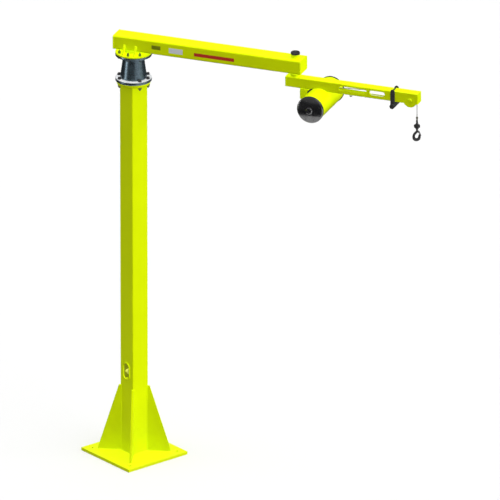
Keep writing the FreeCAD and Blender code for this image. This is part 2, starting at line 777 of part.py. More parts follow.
def secondary_arm():
    """Square tube from the elbow to the head, with windows and a saddle cut for the balancer."""
    body = new_body("secondary_tube")
    drawn = new_sketch(body, "YZ", -s["secondary_back"] + s["cap_thick"])
    side = s["secondary_side"]
    inside = side - s["secondary_wall"] * 2
    rounded(drawn, 0, side / 2, side, side, s["secondary_corner"])
    rounded(drawn, 0, side / 2, inside, inside, s["secondary_corner"] - s["secondary_wall"])
    pad(body, drawn, s["secondary_back"] + s["secondary_long"] - s["cap_thick"])
    bored = new_sketch(body, "XY")
    circle(bored, 0, 0, s["pin_dia"] / 2)
    pocket(body, bored, symmetric=True)
    windows = new_sketch(body, "XZ")
    deeper = new_sketch(body, "XZ")
    level = side / 2 + s["window_rise"]
    for name in ("window_a", "window_b"):
        long, rear = s[f"{name}_long"], s[f"{name}_rear"]
        middle = s["secondary_long"] - s[f"{name}_end"] - long / 2
        obround(windows, middle, level, long, s["window_tall"])
        centre = level + (s["window_tall"] - rear) / 2
        rounded(deeper, middle - s["window_shift"], centre, long, rear, s["window_corner"])
    pocket(body, windows, back=True)
    pocket(body, deeper)
    underside = new_sketch(body, "XY")
    start, end = s["secondary_long"] - s["underside_start"], s["secondary_long"] - s["underside_end"]
    half = s["underside_wide"] / 2
    outline(underside, [(start, -half), (end, -half), (end, half), (start, half)])
    pocket(body, underside, s["secondary_wall"], back=True)
    saddle = new_sketch(body, "XZ")
    circle(saddle, s["balancer_reach"], balancer_level - secondary_low, s["barrel_dia"] / 2)
    pocket(body, saddle, symmetric=True)
    place(body, elbow_x, 0, secondary_low)
    across = (side, side, s["secondary_corner"])
    rear = elbow_x - s["secondary_back"] + s["cap_thick"]
    end_cap("secondary_rear_cap", *across, (rear, 0, secondary_low), back=True)


def head():
    """Two cheeks with round lobes, closed by plates, that hold the sheave's pin."""
    side = s["secondary_side"]
    for label, low in (("head_cheek_front", -arm_side), ("head_cheek_rear", cheek_inside)):
        cheek = new_body(label)
        drawn = new_sketch(cheek, "XZ")
        outline(drawn, [(0, 0), (s["head_long"], 0), (s["head_long"], side), (0, side)])
        pad(cheek, drawn, s["head_plate"], back=True)
        lobe = new_sketch(cheek, "XZ")
        circle(lobe, s["sheave_reach"], s["sheave_rise"], s["lobe_radius"])
        pad(cheek, lobe, s["head_plate"], back=True)
        eye = new_sketch(cheek, "XZ")
        circle(eye, s["sheave_reach"], s["sheave_rise"], s["axle_dia"] / 2)
        pocket(cheek, eye, symmetric=True)
        place(cheek, seam_x, low, secondary_low)
    plate = s["head_plate"]
    between = cheek_inside * 2
    block("head_top_plate", s["head_long"], between, plate, (seam_x, -cheek_inside, secondary_high - plate))
    block("head_bottom_plate", s["head_floor"], between, plate, (seam_x, -cheek_inside, secondary_low))
    block("head_end_plate", plate, between, side - plate, (tip_x - plate, -cheek_inside, secondary_low))


def sheave():
    """Grooved rope wheel and the pin it turns on."""
    wheel = new_body("sheave")
    bore = s["axle_dia"] / 2 + s["running_fit"]
    half = s["sheave_wide"] / 2
    web = s["sheave_web"] / 2
    throat = s["rope_dia"] / 2 + s["groove_gap"]
    floor = s["sheave_pitch"] - throat
    tread = s["sheave_rim"] - (s["sheave_rim"] - floor) * 2
    flare = throat * 2
    revolve(
        wheel,
        [
            (-half, bore),
            (half, bore),
            (half, s["sheave_hub"]),
            (web, s["sheave_hub"]),
            (web, tread),
            (half * 0.8, tread + 3),
            (half * 0.8, s["sheave_rim"]),
            (flare, s["sheave_rim"]),
            (throat, floor),
            (-throat, floor),
            (-flare, s["sheave_rim"]),
            (half * -0.8, s["sheave_rim"]),
            (half * -0.8, tread + 3),
            (-web, tread),
            (-web, s["sheave_hub"]),
            (-half, s["sheave_hub"]),
        ],
        axis="H_Axis",
        plane="YZ",
    )
    place(wheel, sheave_x, 0, sheave_level)

    pin = new_body("sheave_pin")
    shaft = s["axle_dia"] / 2
    spacer = s["axle_collar"] / 2
    end = arm_side + s["axle_proud"]
    inner = half + s["axle_gap"]
    revolve(
        pin,
        [
            (-end, 0),
            (end, 0),
            (end, shaft),
            (cheek_inside, shaft),
            (cheek_inside, spacer),
            (inner, spacer),
            (inner, shaft),
            (-inner, shaft),
            (-inner, spacer),
            (-cheek_inside, spacer),
            (-cheek_inside, shaft),
            (-end, shaft),
        ],
        axis="H_Axis",
        plane="YZ",
    )
    place(pin, sheave_x, 0, sheave_level)


def balancer():
    """Barrel across the arm's underside, with a cover at each end and a hanger on the elbow's side."""
    barrel = new_body("balancer_barrel")
    drawn = new_sketch(barrel, "XZ")
    outer = s["barrel_dia"] / 2
    inner = outer - s["barrel_wall"]
    circle(drawn, 0, 0, outer)
    circle(drawn, 0, 0, inner)
    pad(barrel, drawn, s["barrel_long"], symmetric=True)
    place(barrel, balancer_x, -s["barrel_shift"], balancer_level)

    rim = s["cover_dia"] / 2
    hub = s["cover_hub_dia"] / 2
    port = s["cover_port"] / 2
    hub_end = s["cover_rim"] + s["cover_hub_tall"]
    step = s["cover_edge"]
    foot = rim - step
    dome = [(foot * share, s["cover_rim"] + s["cover_dome"] * (1 - share * share)) for share in DOME_SHARES]
    lift = hub * hub / (foot * foot)
    dome.append((hub, s["cover_rim"] + s["cover_dome"] - s["cover_dome"] * lift))
    for label, way in (("balancer_front_cover", -1), ("balancer_rear_cover", 1)):
        cover = new_body(label)
        half = [
            (-s["cover_spigot"], 0),
            (-s["cover_spigot"], inner),
            (0, inner),
            (0, rim),
            (s["cover_rim"] - step, rim),
            *[(height, reach) for reach, height in dome],
            (hub_end - s["cover_hub_edge"], hub),
            (hub_end, hub - s["cover_hub_edge"]),
            (hub_end, port),
            (hub_end - s["cover_port_deep"], port),
            (hub_end - s["cover_port_deep"], 0),
        ]
        revolve(cover, [(Size.of(y) * way, r) for y, r in half], axis="H_Axis", plane="YZ")
        place(cover, balancer_x, s["barrel_long"] / 2 * way - s["barrel_shift"], balancer_level)

    plate = s["hanger_plate"]
    start = elbow_x + s["hanger_start"]
    reach = balancer_x - start
    hanger = new_body("balancer_hanger")
    side = new_sketch(hanger, "XZ")
    outline(side, [(0, 0), (0, -s["hanger_drop"]), (reach, -s["hanger_drop"]), (reach, 0)])
    pad(hanger, side, s["secondary_side"], symmetric=True)
    seat = new_sketch(hanger, "XZ")
    circle(seat, reach, balancer_level - secondary_low, outer)
    pocket(hanger, seat, symmetric=True)
    hollow = new_sketch(hanger, "XZ")
    outline(hollow, [(plate, 0), (plate, -s["hanger_drop"]), (reach, -s["hanger_drop"]), (reach, 0)])
    pocket(hanger, hollow, s["secondary_side"] - plate * 2, symmetric=True)
    place(hanger, start, 0, secondary_low)


def rope():
    """Rope outlet on the barrel, the rope through the arm and over the sheave, and the straight fall."""
    outlet = new_body("rope_outlet")
    shell = s["outlet_dia"] / 2
    bore = s["rope_dia"] / 2 + s["groove_gap"]
    revolve(
        outlet,
        [(0, bore), (s["outlet_long"], bore), (s["outlet_long"], shell * 0.75), (0, shell)],
        axis="H_Axis",
    )
    barrel = new_sketch(outlet, "XZ")
    circle(barrel, -s["outlet_start"], balancer_level - secondary_low - s["outlet_rise"], s["barrel_dia"] / 2)
    pocket(outlet, barrel, symmetric=True)
    place(outlet, balancer_x + s["outlet_start"], 0, secondary_low + s["outlet_rise"])

    run = new_body("rope_run")
    path = new_sketch(run, "XZ")
    start = (balancer_x + s["outlet_start"] + s["outlet_long"] - sheave_x, s["outlet_rise"] - s["sheave_rise"])
    turn = Part.Circle(FreeCAD.Vector(0, 0, 0), FreeCAD.Vector(0, 0, 1), s["sheave_pitch"].value)
    line = path.addGeometry(Part.LineSegment(vector(*start), vector(0, s["sheave_pitch"])), False)
    wrap = path.addGeometry(Part.ArcOfCircle(turn, 0, math.radians(95)), False)
    path.addConstraint(Sketcher.Constraint("Coincident", wrap, 3, -1, 1))
    path.addConstraint(Sketcher.Constraint("Tangent", line, 2, wrap, 2))
    path.addConstraint(Sketcher.Constraint("PointOnObject", wrap, 1, -1))
    radius(path, wrap, s["sheave_pitch"])
    fix(path, line, 1, *start)
    doc.recompute()
    section = run.newObject("Sketcher::SketchObject", "rope_section")
    section.AttachmentSupport = [(path, "Edge1")]
    section.MapMode = "NormalToEdge"
    circle(section, 0, 0, s["rope_dia"] / 2)
    sweep = run.newObject("PartDesign::AdditivePipe", "rope_sweep")
    sweep.Profile = section
    sweep.Spine = path
    place(run, sheave_x, 0, sheave_level)

    fall = new_body("rope_drop")
    drawn = new_sketch(fall, "XY")
    circle(drawn, 0, 0, s["rope_dia"] / 2)
    pad(fall, drawn, s["rope_drop_long"], back=True)
    place(fall, rope_x, 0, sheave_level)


def bumper():
    """Two hangers clamped on the arm by a tie rod, with a rubber roller under the arm."""
    plate = s["bumper_plate"]
    half = s["bumper_wide"] / 2
    tall = secondary_high + s["bumper_rise"] - bumper_level
    hangers = new_body("bumper_hangers")
    hangers.AllowCompound = True
    side = new_sketch(hangers, "XZ")
    obround(side, 0, (tall - half) / 2, s["bumper_wide"], tall + half)
    pad(hangers, side, s["secondary_side"] + plate * 2, symmetric=True)
    seat = new_sketch(hangers, "XZ")
    circle(seat, 0, 0, s["bumper_dia"] / 2)
    pocket(hangers, seat, symmetric=True)
    between = new_sketch(hangers, "XZ")
    outline(between, [(-half, -half), (half, -half), (half, tall), (-half, tall)])
    pocket(hangers, between, s["secondary_side"], symmetric=True)
    place(hangers, bumper_x, 0, bumper_level)
    tie = new_body("bumper_tie")
    drawn = new_sketch(tie, "XZ")
    circle(drawn, 0, 0, s["bumper_tie_dia"] / 2)
    pad(tie, drawn, s["secondary_side"], symmetric=True)
    place(tie, bumper_x, 0, secondary_high + s["bumper_tie_dia"] / 2)
    roller = new_body("bumper_roller")
    drawn = new_sketch(roller, "XZ")
    circle(drawn, 0, 0, s["bumper_dia"] / 2)
    pad(roller, drawn, s["bumper_long"], symmetric=True)
    soften(roller, s["bumper_round"], lambda edge: isinstance(edge.Curve, Part.Circle))
    place(roller, bumper_x, 0, bumper_level)


def rope_end():
    """Ferrule and stem on the rope's end, and the swivel body that carries the hook."""
    socket = new_body("rope_socket")
    ferrule = s["socket_dia"] / 2
    stem = s["stem_dia"] / 2
    foot = s["stem_tall"]
    top = foot + s["socket_tall"]
    taper = s["socket_tall"] / 4
    revolve(
        socket,
        [(0, 0), (stem, 0), (stem, foot), (ferrule, foot + taper), (ferrule, top - taper), (stem, top), (0, top)],
    )
    place(socket, rope_x, 0, swivel_high)

    swivel_body = new_body("swivel_body")
    wide = s["swivel_dia"] / 2
    end = s["swivel_end_dia"] / 2
    edge = s["swivel_edge"]
    tall = s["swivel_tall"]
    bore = s["shank_dia"] / 2 + s["running_fit"]
    deep = s["shank_seat"] + s["shank_end"]
    revolve(
        swivel_body,
        [(bore, 0), (end, 0), (wide, edge), (wide, tall - edge), (end, tall), (0, tall), (0, deep), (bore, deep)],
    )
    place(swivel_body, rope_x, 0, swivel_high - tall)


def hook():
    """Hook swept along its centre line with a section that swells at the bowl, and a lug for the latch."""
    bend = s["hook_radius"].value
    drop = s["hook_drop"].value
    stations = [(0, 0, "shank_dia"), (0, -s["shank_long"].value, "shank_dia")]
    for angle, across in HOOK_SECTIONS:
        turn = math.radians(angle)
        stations.append((bend * math.cos(turn), bend * math.sin(turn) - drop, across))
    spots = [FreeCAD.Vector(x, 0, z) for x, z, across in stations]
    centre_line = Part.BSplineCurve()
    leave = math.radians(HOOK_SECTIONS[-1][0])
    centre_line.interpolate(
        Points=spots,
        InitialTangent=FreeCAD.Vector(0, 0, -bend),
        FinalTangent=FreeCAD.Vector(bend * math.sin(leave), 0, -bend * math.cos(leave)),
    )
    shell = Part.BRepOffsetAPI.MakePipeShell(Part.Wire([centre_line.toShape()]))
    for spot, (x, z, across) in zip(spots, stations):
        tangent = centre_line.tangent(centre_line.parameter(spot))[0]
        shell.add(Part.Wire([Part.Circle(spot, tangent, s[across].value / 2).toShape()]), False, False)
    shell.build()
    shell.makeSolid()
    swept = doc.addObject("Part::Feature", "hook_sweep")
    swept.Shape = shell.shape()

    lug = doc.addObject("PartDesign::Body", "hook_lug")
    drawn = new_sketch(lug, "XZ")
    eye = s["latch_eye"] / 2
    outline(
        drawn,
        [
            (-s["latch_out"], eye - s["latch_drop"]),
            (-s["latch_out"], -eye - s["latch_drop"]),
            (s["shank_dia"] / 2, -eye - s["latch_drop"]),
            (0, eye - s["latch_drop"]),
        ],
    )
    pad(lug, drawn, s["latch_lug"], symmetric=True)
    nose = new_sketch(lug, "XZ")
    circle(nose, -s["latch_out"], -s["latch_drop"], eye)
    pad(lug, nose, s["latch_lug"], symmetric=True)

    shank = doc.addObject("Part::Cylinder", "hook_shank")
    bind(shank, "Radius", s["shank_dia"] / 2)
    bind(shank, "Height", s["shank_seat"] + s["hook_neck"])
    collar = doc.addObject("Part::Cone", "hook_collar")
    bind(collar, "Radius1", s["shank_dia"] / 2)
    bind(collar, "Radius2", s["hook_neck_dia"] / 2)
    bind(collar, "Height", s["hook_neck"] - s["hook_neck_gap"])
    joined = doc.addObject("Part::MultiFuse", "hook_forging")
    joined.Shapes = [swept, shank, collar, lug]
    bored = doc.addObject("Part::Cut", "hook_bored")
    bored.Base = joined
    bored.Tool = doc.addObject("Part::Cylinder", "latch_bore")
    bind(bored.Tool, "Radius", s["latch_pin"] / 2)
    bind(bored.Tool, "Height", s["latch_wide"])
    bored.Tool.Placement.Rotation = FreeCAD.Rotation(FreeCAD.Vector(1, 0, 0), 90)
    place(bored.Tool, -s["latch_out"], s["latch_wide"] / 2, -s["latch_drop"])
    node(bored, "hook")
    place(bored, rope_x, 0, collar_level, s["hook_turn"])


def latch():
    """Sprung sheet latch that closes the hook's throat, and its pin."""
    at_x, at_z = -s["latch_out"], -s["latch_drop"]
    pin = new_body("latch_pin")
    drawn = new_sketch(pin, "XZ")
    circle(drawn, at_x, at_z, s["latch_pin"] / 2)
    pad(pin, drawn, s["latch_wide"] + s["latch_sheet"], symmetric=True)
    place(pin, rope_x, 0, collar_level, s["hook_turn"])

    body = new_body("hook_latch")
    eye = s["latch_eye"] / 2
    half = s["latch_sheet"] / 2
    end_x = s["hook_tip_dia"] / 2 + s["latch_gap"] - s["hook_radius"] * POINT_ACROSS
    end_z = s["hook_radius"] * POINT_UP - s["hook_drop"]
    sheet_run = new_sketch(body, "XZ")
    outline(sheet_run, [(at_x - half, at_z), (end_x - half, end_z), (end_x + half, end_z), (at_x + half, at_z)])
    pad(body, sheet_run, s["latch_wide"], symmetric=True)
    ears = new_sketch(body, "XZ")
    circle(ears, at_x, at_z, eye)
    pad(body, ears, s["latch_wide"], symmetric=True)
    slot = new_sketch(body, "XZ")
    circle(slot, at_x, at_z, eye + s["latch_gap"])
    pocket(body, slot, s["latch_lug"] + s["latch_side"] * 2, symmetric=True)
    bored = new_sketch(body, "XZ")
    circle(bored, at_x, at_z, s["latch_pin"] / 2 + s["running_fit"])
    pocket(body, bored, symmetric=True)
    place(body, rope_x, 0, collar_level, s["hook_turn"])


base_plate()
gussets()
column_tube()
hand_hole_frame()
air_inlet()
column_head()
swivel()
primary_arm()
elbow()
secondary_arm()
head()
sheave()
balancer()
rope()
bumper()
rope_end()
hook()
latch()

doc.recompute()
os.makedirs("parts", exist_ok=True)
for piece in doc.Objects:
    if "Invalid" in piece.State or "Error" in piece.State:
        raise RuntimeError(f"{piece.Label} did not build: {piece.State}")
for piece in nodes:
    if not piece.Shape.isValid():
        raise RuntimeError(f"{piece.Label} is not a valid solid")
    piece.Shape.exportStep(f"parts/{piece.Label}.step")
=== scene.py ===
"""Looks of the articulating arm hoist: paint, steel, welds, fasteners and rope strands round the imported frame."""

from __future__ import annotations

import logging
import math
from dataclasses import dataclass, replace
from enum import Enum
from typing import Iterable, Sequence

import bmesh
import bpy
from mathutils import Matrix, Vector

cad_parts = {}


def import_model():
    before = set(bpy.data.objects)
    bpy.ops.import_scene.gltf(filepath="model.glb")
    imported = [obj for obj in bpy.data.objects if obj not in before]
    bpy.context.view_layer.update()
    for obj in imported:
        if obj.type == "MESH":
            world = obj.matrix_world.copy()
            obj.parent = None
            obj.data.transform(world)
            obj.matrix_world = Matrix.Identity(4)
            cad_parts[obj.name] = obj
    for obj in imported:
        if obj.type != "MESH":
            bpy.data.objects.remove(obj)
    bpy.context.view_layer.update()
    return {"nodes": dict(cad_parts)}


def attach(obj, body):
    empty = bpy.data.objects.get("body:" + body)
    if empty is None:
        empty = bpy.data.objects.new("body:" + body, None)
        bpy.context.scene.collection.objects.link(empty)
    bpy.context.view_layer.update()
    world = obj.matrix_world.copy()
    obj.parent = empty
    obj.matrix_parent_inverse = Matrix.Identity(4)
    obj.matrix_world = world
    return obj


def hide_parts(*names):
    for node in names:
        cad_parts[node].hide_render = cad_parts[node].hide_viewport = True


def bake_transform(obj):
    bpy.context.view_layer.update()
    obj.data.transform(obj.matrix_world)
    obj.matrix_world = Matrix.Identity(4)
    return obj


LOG = logging.getLogger("arm_hoist")
Colour = tuple[float, float, float]
Point = tuple[float, float, float]
Span = tuple[float, float]
Profile = Sequence[tuple[float, float]]
Socket = bpy.types.NodeSocket
Object = bpy.types.Object

BLUR = 0.001
EDGE_FADE, UPWARD_FADE = (0.75, 0.97), (0.6, 0.8)
NODE_EDGE, PIECE_EDGE = math.radians(50.0), math.radians(40.0)
BEAD_SIDES, STRAND_SIDES = 8, 7
BEAD_STEP, BEAD_START, BEAD_GROWTH = 0.0028, 0.45, 0.28
RIPPLES = ((0.10, 2.2), (0.05, 0.71))
RING_RIPPLE, RING_RIPPLES = 0.10, 23
WASHER_SHAPE = ((0.96, 0.0), (1.0, 0.3), (1.0, 0.8), (0.96, 1.0))
STUD_PART, STUD_FOOT, STUD_FROM, STUD_TIP, THREAD_ROOT = 3.1, 0.92, 0.9, 0.8, 0.9


class Body(Enum):
    """The moving bodies of the frame."""

    COLUMN = "column"
    PRIMARY = "primary_arm"
    SECONDARY = "secondary_arm"
    ROPE_END = "rope_end"
    HOOK = "hook"
    LATCH = "latch"


class Slot(Enum):
    """The record's material slots."""

    YELLOW = "yellow_paint"
    STEEL = "bearing_steel"
    BLACK = "black_paint"
    RUBBER = "black_rubber"
    ROPE = "rope_steel"
    ZINC = "plated_steel"
    DARK = "hook_steel"


class Around(Enum):
    """Which way a fastener's axis points."""

    UP = Matrix.Identity(4)
    DOWN = Matrix.Rotation(math.pi, 4, "X")
    FRONT = Matrix.Rotation(math.pi / 2, 4, "X")
    REAR = Matrix.Rotation(-math.pi / 2, 4, "X")


SIDES = ((-1, Around.FRONT), (1, Around.REAR))


@dataclass(frozen=True)
class Mottle:
    """Noise spread into a value: cells in a metre, octaves, the value's ends and the noise that gives them."""

    scale: float
    detail: float = 3.0
    low: float = 0.0
    high: float = 1.0
    start: float = 0.3
    end: float = 0.7
    stretch: Point | None = None


@dataclass(frozen=True)
class Relief:
    """Noise as bump: cells in a metre, height in metres, the share of it that shows, and octaves."""

    scale: float
    depth: float
    strength: float
    detail: float = 2.0


class Graph:
    """A node tree, with short calls to add and join nodes."""

    def __init__(self, owner: bpy.types.Material | bpy.types.World) -> None:
        """Empty the tree of a material or world.

        Args:
            owner: What the tree belongs to.
        """
        owner.use_nodes = True
        self.tree = owner.node_tree
        self.tree.nodes.clear()
        self.place = self.node("TexCoord").outputs

    def feed(self, socket: Socket, value: object) -> None:
        """Set an input to a value, or link it to an output.

        Args:
            socket: The input.
            value: Number, vector, colour or output socket.
        """
        if isinstance(value, bpy.types.NodeSocket):
            self.tree.links.new(value, socket)
        elif socket.type == "RGBA":
            socket.default_value = (*value, 1.0)
        else:
            socket.default_value = value

    def node(self, kind: str, operation: str = "", **inputs: object) -> bpy.types.Node:
        """Add a node.

        Args:
            kind: The node's type, without its usual first words.
            operation: What a math node works out.
            inputs: What feeds its inputs, with spaces in a socket's name written as underscores.

        Returns:
            The new node.
        """
        made = self.tree.nodes.new("ShaderNode" + kind)
        if operation:
            made.operation = operation
        for name, value in inputs.items():
            self.feed(made.inputs[name.replace("_", " ")], value)
        return made

    def math(self, operation: str, *values: object, kind: str = "Math") -> Socket:
        """Work out a number.

        Args:
            operation: How.
            values: What feeds the inputs, in order.
            kind: Math or VectorMath.

        Returns:
            The result.
        """
        made = self.node(kind, operation)
        for socket, value in zip(made.inputs, values):
            self.feed(socket, value)
        return made.outputs["Value"]

    def spread(self, value: Socket, low: float, high: float, start: float = 0.0, end: float = 1.0) -> Socket:
        """Stretch a value from the range between start and end to the one between low and high."""
        made = self.node("MapRange", Value=value, From_Min=start, From_Max=end, To_Min=low, To_Max=high)
        return made.outputs[0]

    def noise(self, scale: float, detail: float, stretch: Point | None = None) -> Socket:
        """Add noise in the object's own metres.

        Args:
            scale: Cells in a metre.
            detail: Octaves.
            stretch: Scale along each axis, to draw the noise out into streaks.

        Returns:
            The noise.
        """
        where = self.place["Object"]
        if stretch:
            where = self.node("Mapping", Vector=where, Scale=stretch).outputs["Vector"]
        return self.node("TexNoise", Vector=where, Scale=scale, Detail=detail, Roughness=0.55).outputs["Fac"]

    def mottle(self, marks: Mottle, around: float = 0.0) -> Socket:
        """Noise spread into a value round another."""
        noise = self.noise(marks.scale, marks.detail, marks.stretch)
        return self.spread(noise, around + marks.low, around + marks.high, marks.start, marks.end)

    def mix(self, first: Colour | Socket, second: Colour, share: Socket) -> Socket:
        """Mix two colours.

        Args:
            first: Colour at a share of 0.
            second: Colour at a share of 1.
            share: The share.

        Returns:
            The mixed colour.
        """
        made = self.node("Mix")
        made.data_type = "RGBA"
        factor, colour_a, colour_b, result = 0, 6, 7, 2
        for i, value in ((factor, share), (colour_a, first), (colour_b, second)):
            self.feed(made.inputs[i], value)
        return made.outputs[result]

    def bump(self, height: Socket, depth: float, strength: float, under: Socket | None = None) -> Socket:
        """Add bump from a height.

        Args:
            height: The height.
            depth: Height of the bump in metres.
            strength: Share of it that shows.
            under: Bump that this one lies on.

        Returns:
            The normal.
        """
        made = self.node("Bump", Height=height, Distance=depth, Strength=strength)
        if under:
            self.feed(made.inputs["Normal"], under)
        return made.outputs["Normal"]

    def edges(self, width: float) -> Socket:
        """Find the outer edges of a piece.

        Args:
            width: How far in from the edge to reach, in metres.

        Returns:
            A share that is 1 on the edges.
        """
        rounded = self.node("Bevel", Radius=width).outputs["Normal"]
        flat = self.node("NewGeometry").outputs["Normal"]
        return self.spread(self.math("DOT_PRODUCT", rounded, flat, kind="VectorMath"), 1.0, 0.0, *EDGE_FADE)

    def within(self, turn: float, reach: float) -> Socket:
        """Find what lies inside a square standing on the origin.

        Args:
            turn: Turn of the square about Z, in radians.
            reach: Half its side, in metres.

        Returns:
            A share that is 1 inside.
        """
        turned = self.node("Mapping", Vector=self.place["Object"], Rotation=(0.0, 0.0, -turn))
        split = self.node("SeparateXYZ", Vector=turned.outputs["Vector"]).outputs
        far = self.math("MAXIMUM", *(self.math("ABSOLUTE", split[axis]) for axis in "XY"))
        return self.spread(far, 1.0, 0.0, reach, reach + BLUR)

    def height(self, of: str = "Object") -> Socket:
        """The upward part of a place or a direction."""
        return self.node("SeparateXYZ", Vector=self.place[of]).outputs["Z"]

    def below(self, level: float) -> Socket:
        """A share that is 1 below a level."""
        return self.spread(self.height(), 1.0, 0.0, level, level + BLUR)

    def upward(self) -> Socket:
        """A share that is 1 on faces that look up."""
        return self.spread(self.height("Normal"), 0.0, 1.0, *UPWARD_FADE)


@dataclass(frozen=True)
class Finish:
    """One finish of the hoist, with the record's slot that it stands for."""

    name: str
    slot: Slot
    colour: Colour
    roughness: float = 0.45
    metallic: float = 0.0
    gloss: float = 0.5
    ior: float = 1.5
    patches: Mottle | None = None
    reliefs: tuple[Relief, ...] = ()

    def shade(self, parts: Colour) -> Colour:
        """The finish's colour with each part multiplied."""
        return tuple(c * part for c, part in zip(self.colour, parts))

    def tint(self, graph: Graph) -> Socket:
        """The colour all over."""
        raise NotImplementedError

    def layers(self, graph: Graph) -> dict[str, Socket]:
        """Work out what varies over the surface.

        Args:
            graph: The material's graph.

        Returns:
            What feeds the shader's inputs, by their names.
        """
        fed = {"Base Color": self.tint(graph)}
        if self.patches:
            fed["Roughness"] = graph.mottle(self.patches, self.roughness)
        normal = None
        for relief in self.reliefs:
            height = graph.noise(relief.scale, relief.detail)
            normal = fed["Normal"] = graph.bump(height, relief.depth, relief.strength, normal)
        return fed

    def material(self) -> bpy.types.Material:
        """The finished material, made once.

        Returns:
            The Blender material.
        """
        found = bpy.data.materials.get(self.name)
        if found is not None:
            return found
        made = bpy.data.materials.new(self.name)
        graph = Graph(made)
        surface = graph.node(
            "BsdfPrincipled", Metallic=self.metallic, Specular_IOR_Level=self.gloss, IOR=self.ior,
            Roughness=self.roughness,
        )
        graph.node("OutputMaterial", Surface=surface.outputs["BSDF"])
        for name, value in self.layers(graph).items():
            graph.feed(surface.inputs[name], value)
        return made


@dataclass(frozen=True)
class PowderCoat(Finish):
    """Sprayed powder paint with a fine orange peel, a little dust low down, rubbed edges and, where asked, painted
    shade.
    """

    patches: Mottle | None = Mottle(22.0, low=-0.05, high=0.08)
    reliefs: tuple[Relief, ...] = (Relief(16.0, 0.0010, 0.10), Relief(620.0, 0.00022, 0.28))
    cloud: Mottle = Mottle(3.0, 4.0, start=0.35, end=0.75)
    clouded: Colour = (0.93, 0.94, 1.0)
    dust: Mottle = Mottle(14.0, 5.0, low=0.6)
    dust_share: float = 0.80
    dust_top: float = 0.50
    dusty: Colour = (0.50, 0.60, 0.006)
    rub: Mottle = Mottle(38.0, 4.0, high=0.7, start=0.45)
    rub_width: float = 0.0025
    worn: Colour = (0.84, 0.93, 0.10)
    # Painted shade: a darker olive yellow for the inside of the column tube and the low part of the air inlet
    painted_inner_shade: Colour = (0.25, 0.28, 0.012)
    painted_inner_shade_reach: float = 0.0
    painted_inner_shade_below: float = 0.0
    # Painted shade: a darker yellow for the upward faces low inside the secondary tube
    painted_tube_floor_shade: Colour = (0.42, 0.50, 0.002)
    painted_tube_floor_shade_below: float = 0.0
    # Painted shade: a darker yellow on steep faces near a point by the balancer's barrel, against the light that the
    # barrel throws back
    painted_shade: Colour = (0.50, 0.57, 0.001)
    painted_shade_at: Point | None = None
    painted_shade_reach: Span = (0.04, 0.27)

    def tint(self, graph: Graph) -> Socket:
        """Cloudy colour with dust, paler edges, and painted shade inside the column, low on the air inlet, on the arm
        tube's inner floor and on its sides by the balancer's barrel.

        Args:
            graph: The material's graph.

        Returns:
            The colour.
        """
        low = graph.spread(graph.height(), self.dust_share, 0.0, 0.0, self.dust_top)
        settled = graph.math("MULTIPLY", low, graph.mottle(self.dust))
        rubbed = graph.math("MULTIPLY", graph.edges(self.rub_width), graph.mottle(self.rub))
        coat = graph.mix(self.colour, self.shade(self.clouded), graph.mottle(self.cloud))
        coat = graph.mix(graph.mix(coat, self.dusty, settled), self.worn, rubbed)
        # Painted shade on the faces inside a square round the axis, the column tube's inner walls
        if self.painted_inner_shade_reach:
            coat = graph.mix(coat, self.painted_inner_shade, graph.within(DATUM.base_turn, self.painted_inner_shade_reach))
        # Painted shade on the part below a height, the air inlet's pipe inside the column
        if self.painted_inner_shade_below:
            coat = graph.mix(coat, self.painted_inner_shade, graph.below(self.painted_inner_shade_below))
        # Painted shade on upward faces below a height, the tube's inner floor seen through the windows
        if self.painted_tube_floor_shade_below:
            inside = graph.math("MULTIPLY", graph.below(self.painted_tube_floor_shade_below), graph.upward())
            coat = graph.mix(coat, self.painted_tube_floor_shade, inside)
        # Painted shade on steep faces near a point, fading out with distance
        if self.painted_shade_at:
            gap = graph.math("DISTANCE", graph.place["Object"], self.painted_shade_at, kind="VectorMath")
            near, steep = graph.spread(gap, 1.0, 0.0, *self.painted_shade_reach), graph.spread(graph.upward(), 1.0, 0.0)
            coat = graph.mix(coat, self.painted_shade, graph.math("MULTIPLY", near, steep))
        return coat


@dataclass(frozen=True)
class TurnedSteel(Finish):
    """Steel off the lathe: fine rings, darker where it was left as it came, and upward faces painted bright and matt,
    partly as faced metal and partly as painted top light.
    """

    patches: Mottle | None = Mottle(40.0, 4.0, -0.06, 0.10)
    streak: Mottle = Mottle(26.0, 5.0, stretch=(1.0, 1.0, 0.06))
    streaked: Colour = (0.6, 0.6, 0.62)
    # Painted top light: a bright colour and little metal on every upward face, partly faced metal and partly light
    # from above
    faced_top_light: Colour = (0.80, 0.82, 0.84)
    faced_top_light_metallic: float = 0.15
    ring_scale: float = 190.0
    ring_depth: float = 0.00012
    ring_strength: float = 0.35

    def tint(self, graph: Graph) -> Socket:
        """Streaks on the sides, and upward faces painted bright as faced metal and as painted top light."""
        side = graph.mix(self.colour, self.shade(self.streaked), graph.mottle(self.streak))
        return graph.mix(side, self.faced_top_light, graph.upward())

    def layers(self, graph: Graph) -> dict[str, Socket]:
        """Work out what varies, with tool rings as bump and less metal on the upward faces painted bright.

        Args:
            graph: The material's graph.

        Returns:
            What feeds the shader's inputs, by their names.
        """
        rings = graph.node("TexWave", Vector=graph.place["Object"], Scale=self.ring_scale, Distortion=0.4, Detail=2.0)
        rings.wave_type, rings.bands_direction = "BANDS", "Z"
        return super().layers(graph) | {
            # Less metal on the upward faces painted bright
            "Metallic": graph.spread(graph.upward(), self.metallic, self.faced_top_light_metallic),
            "Normal": graph.bump(rings.outputs["Fac"], self.ring_depth, self.ring_strength),
        }


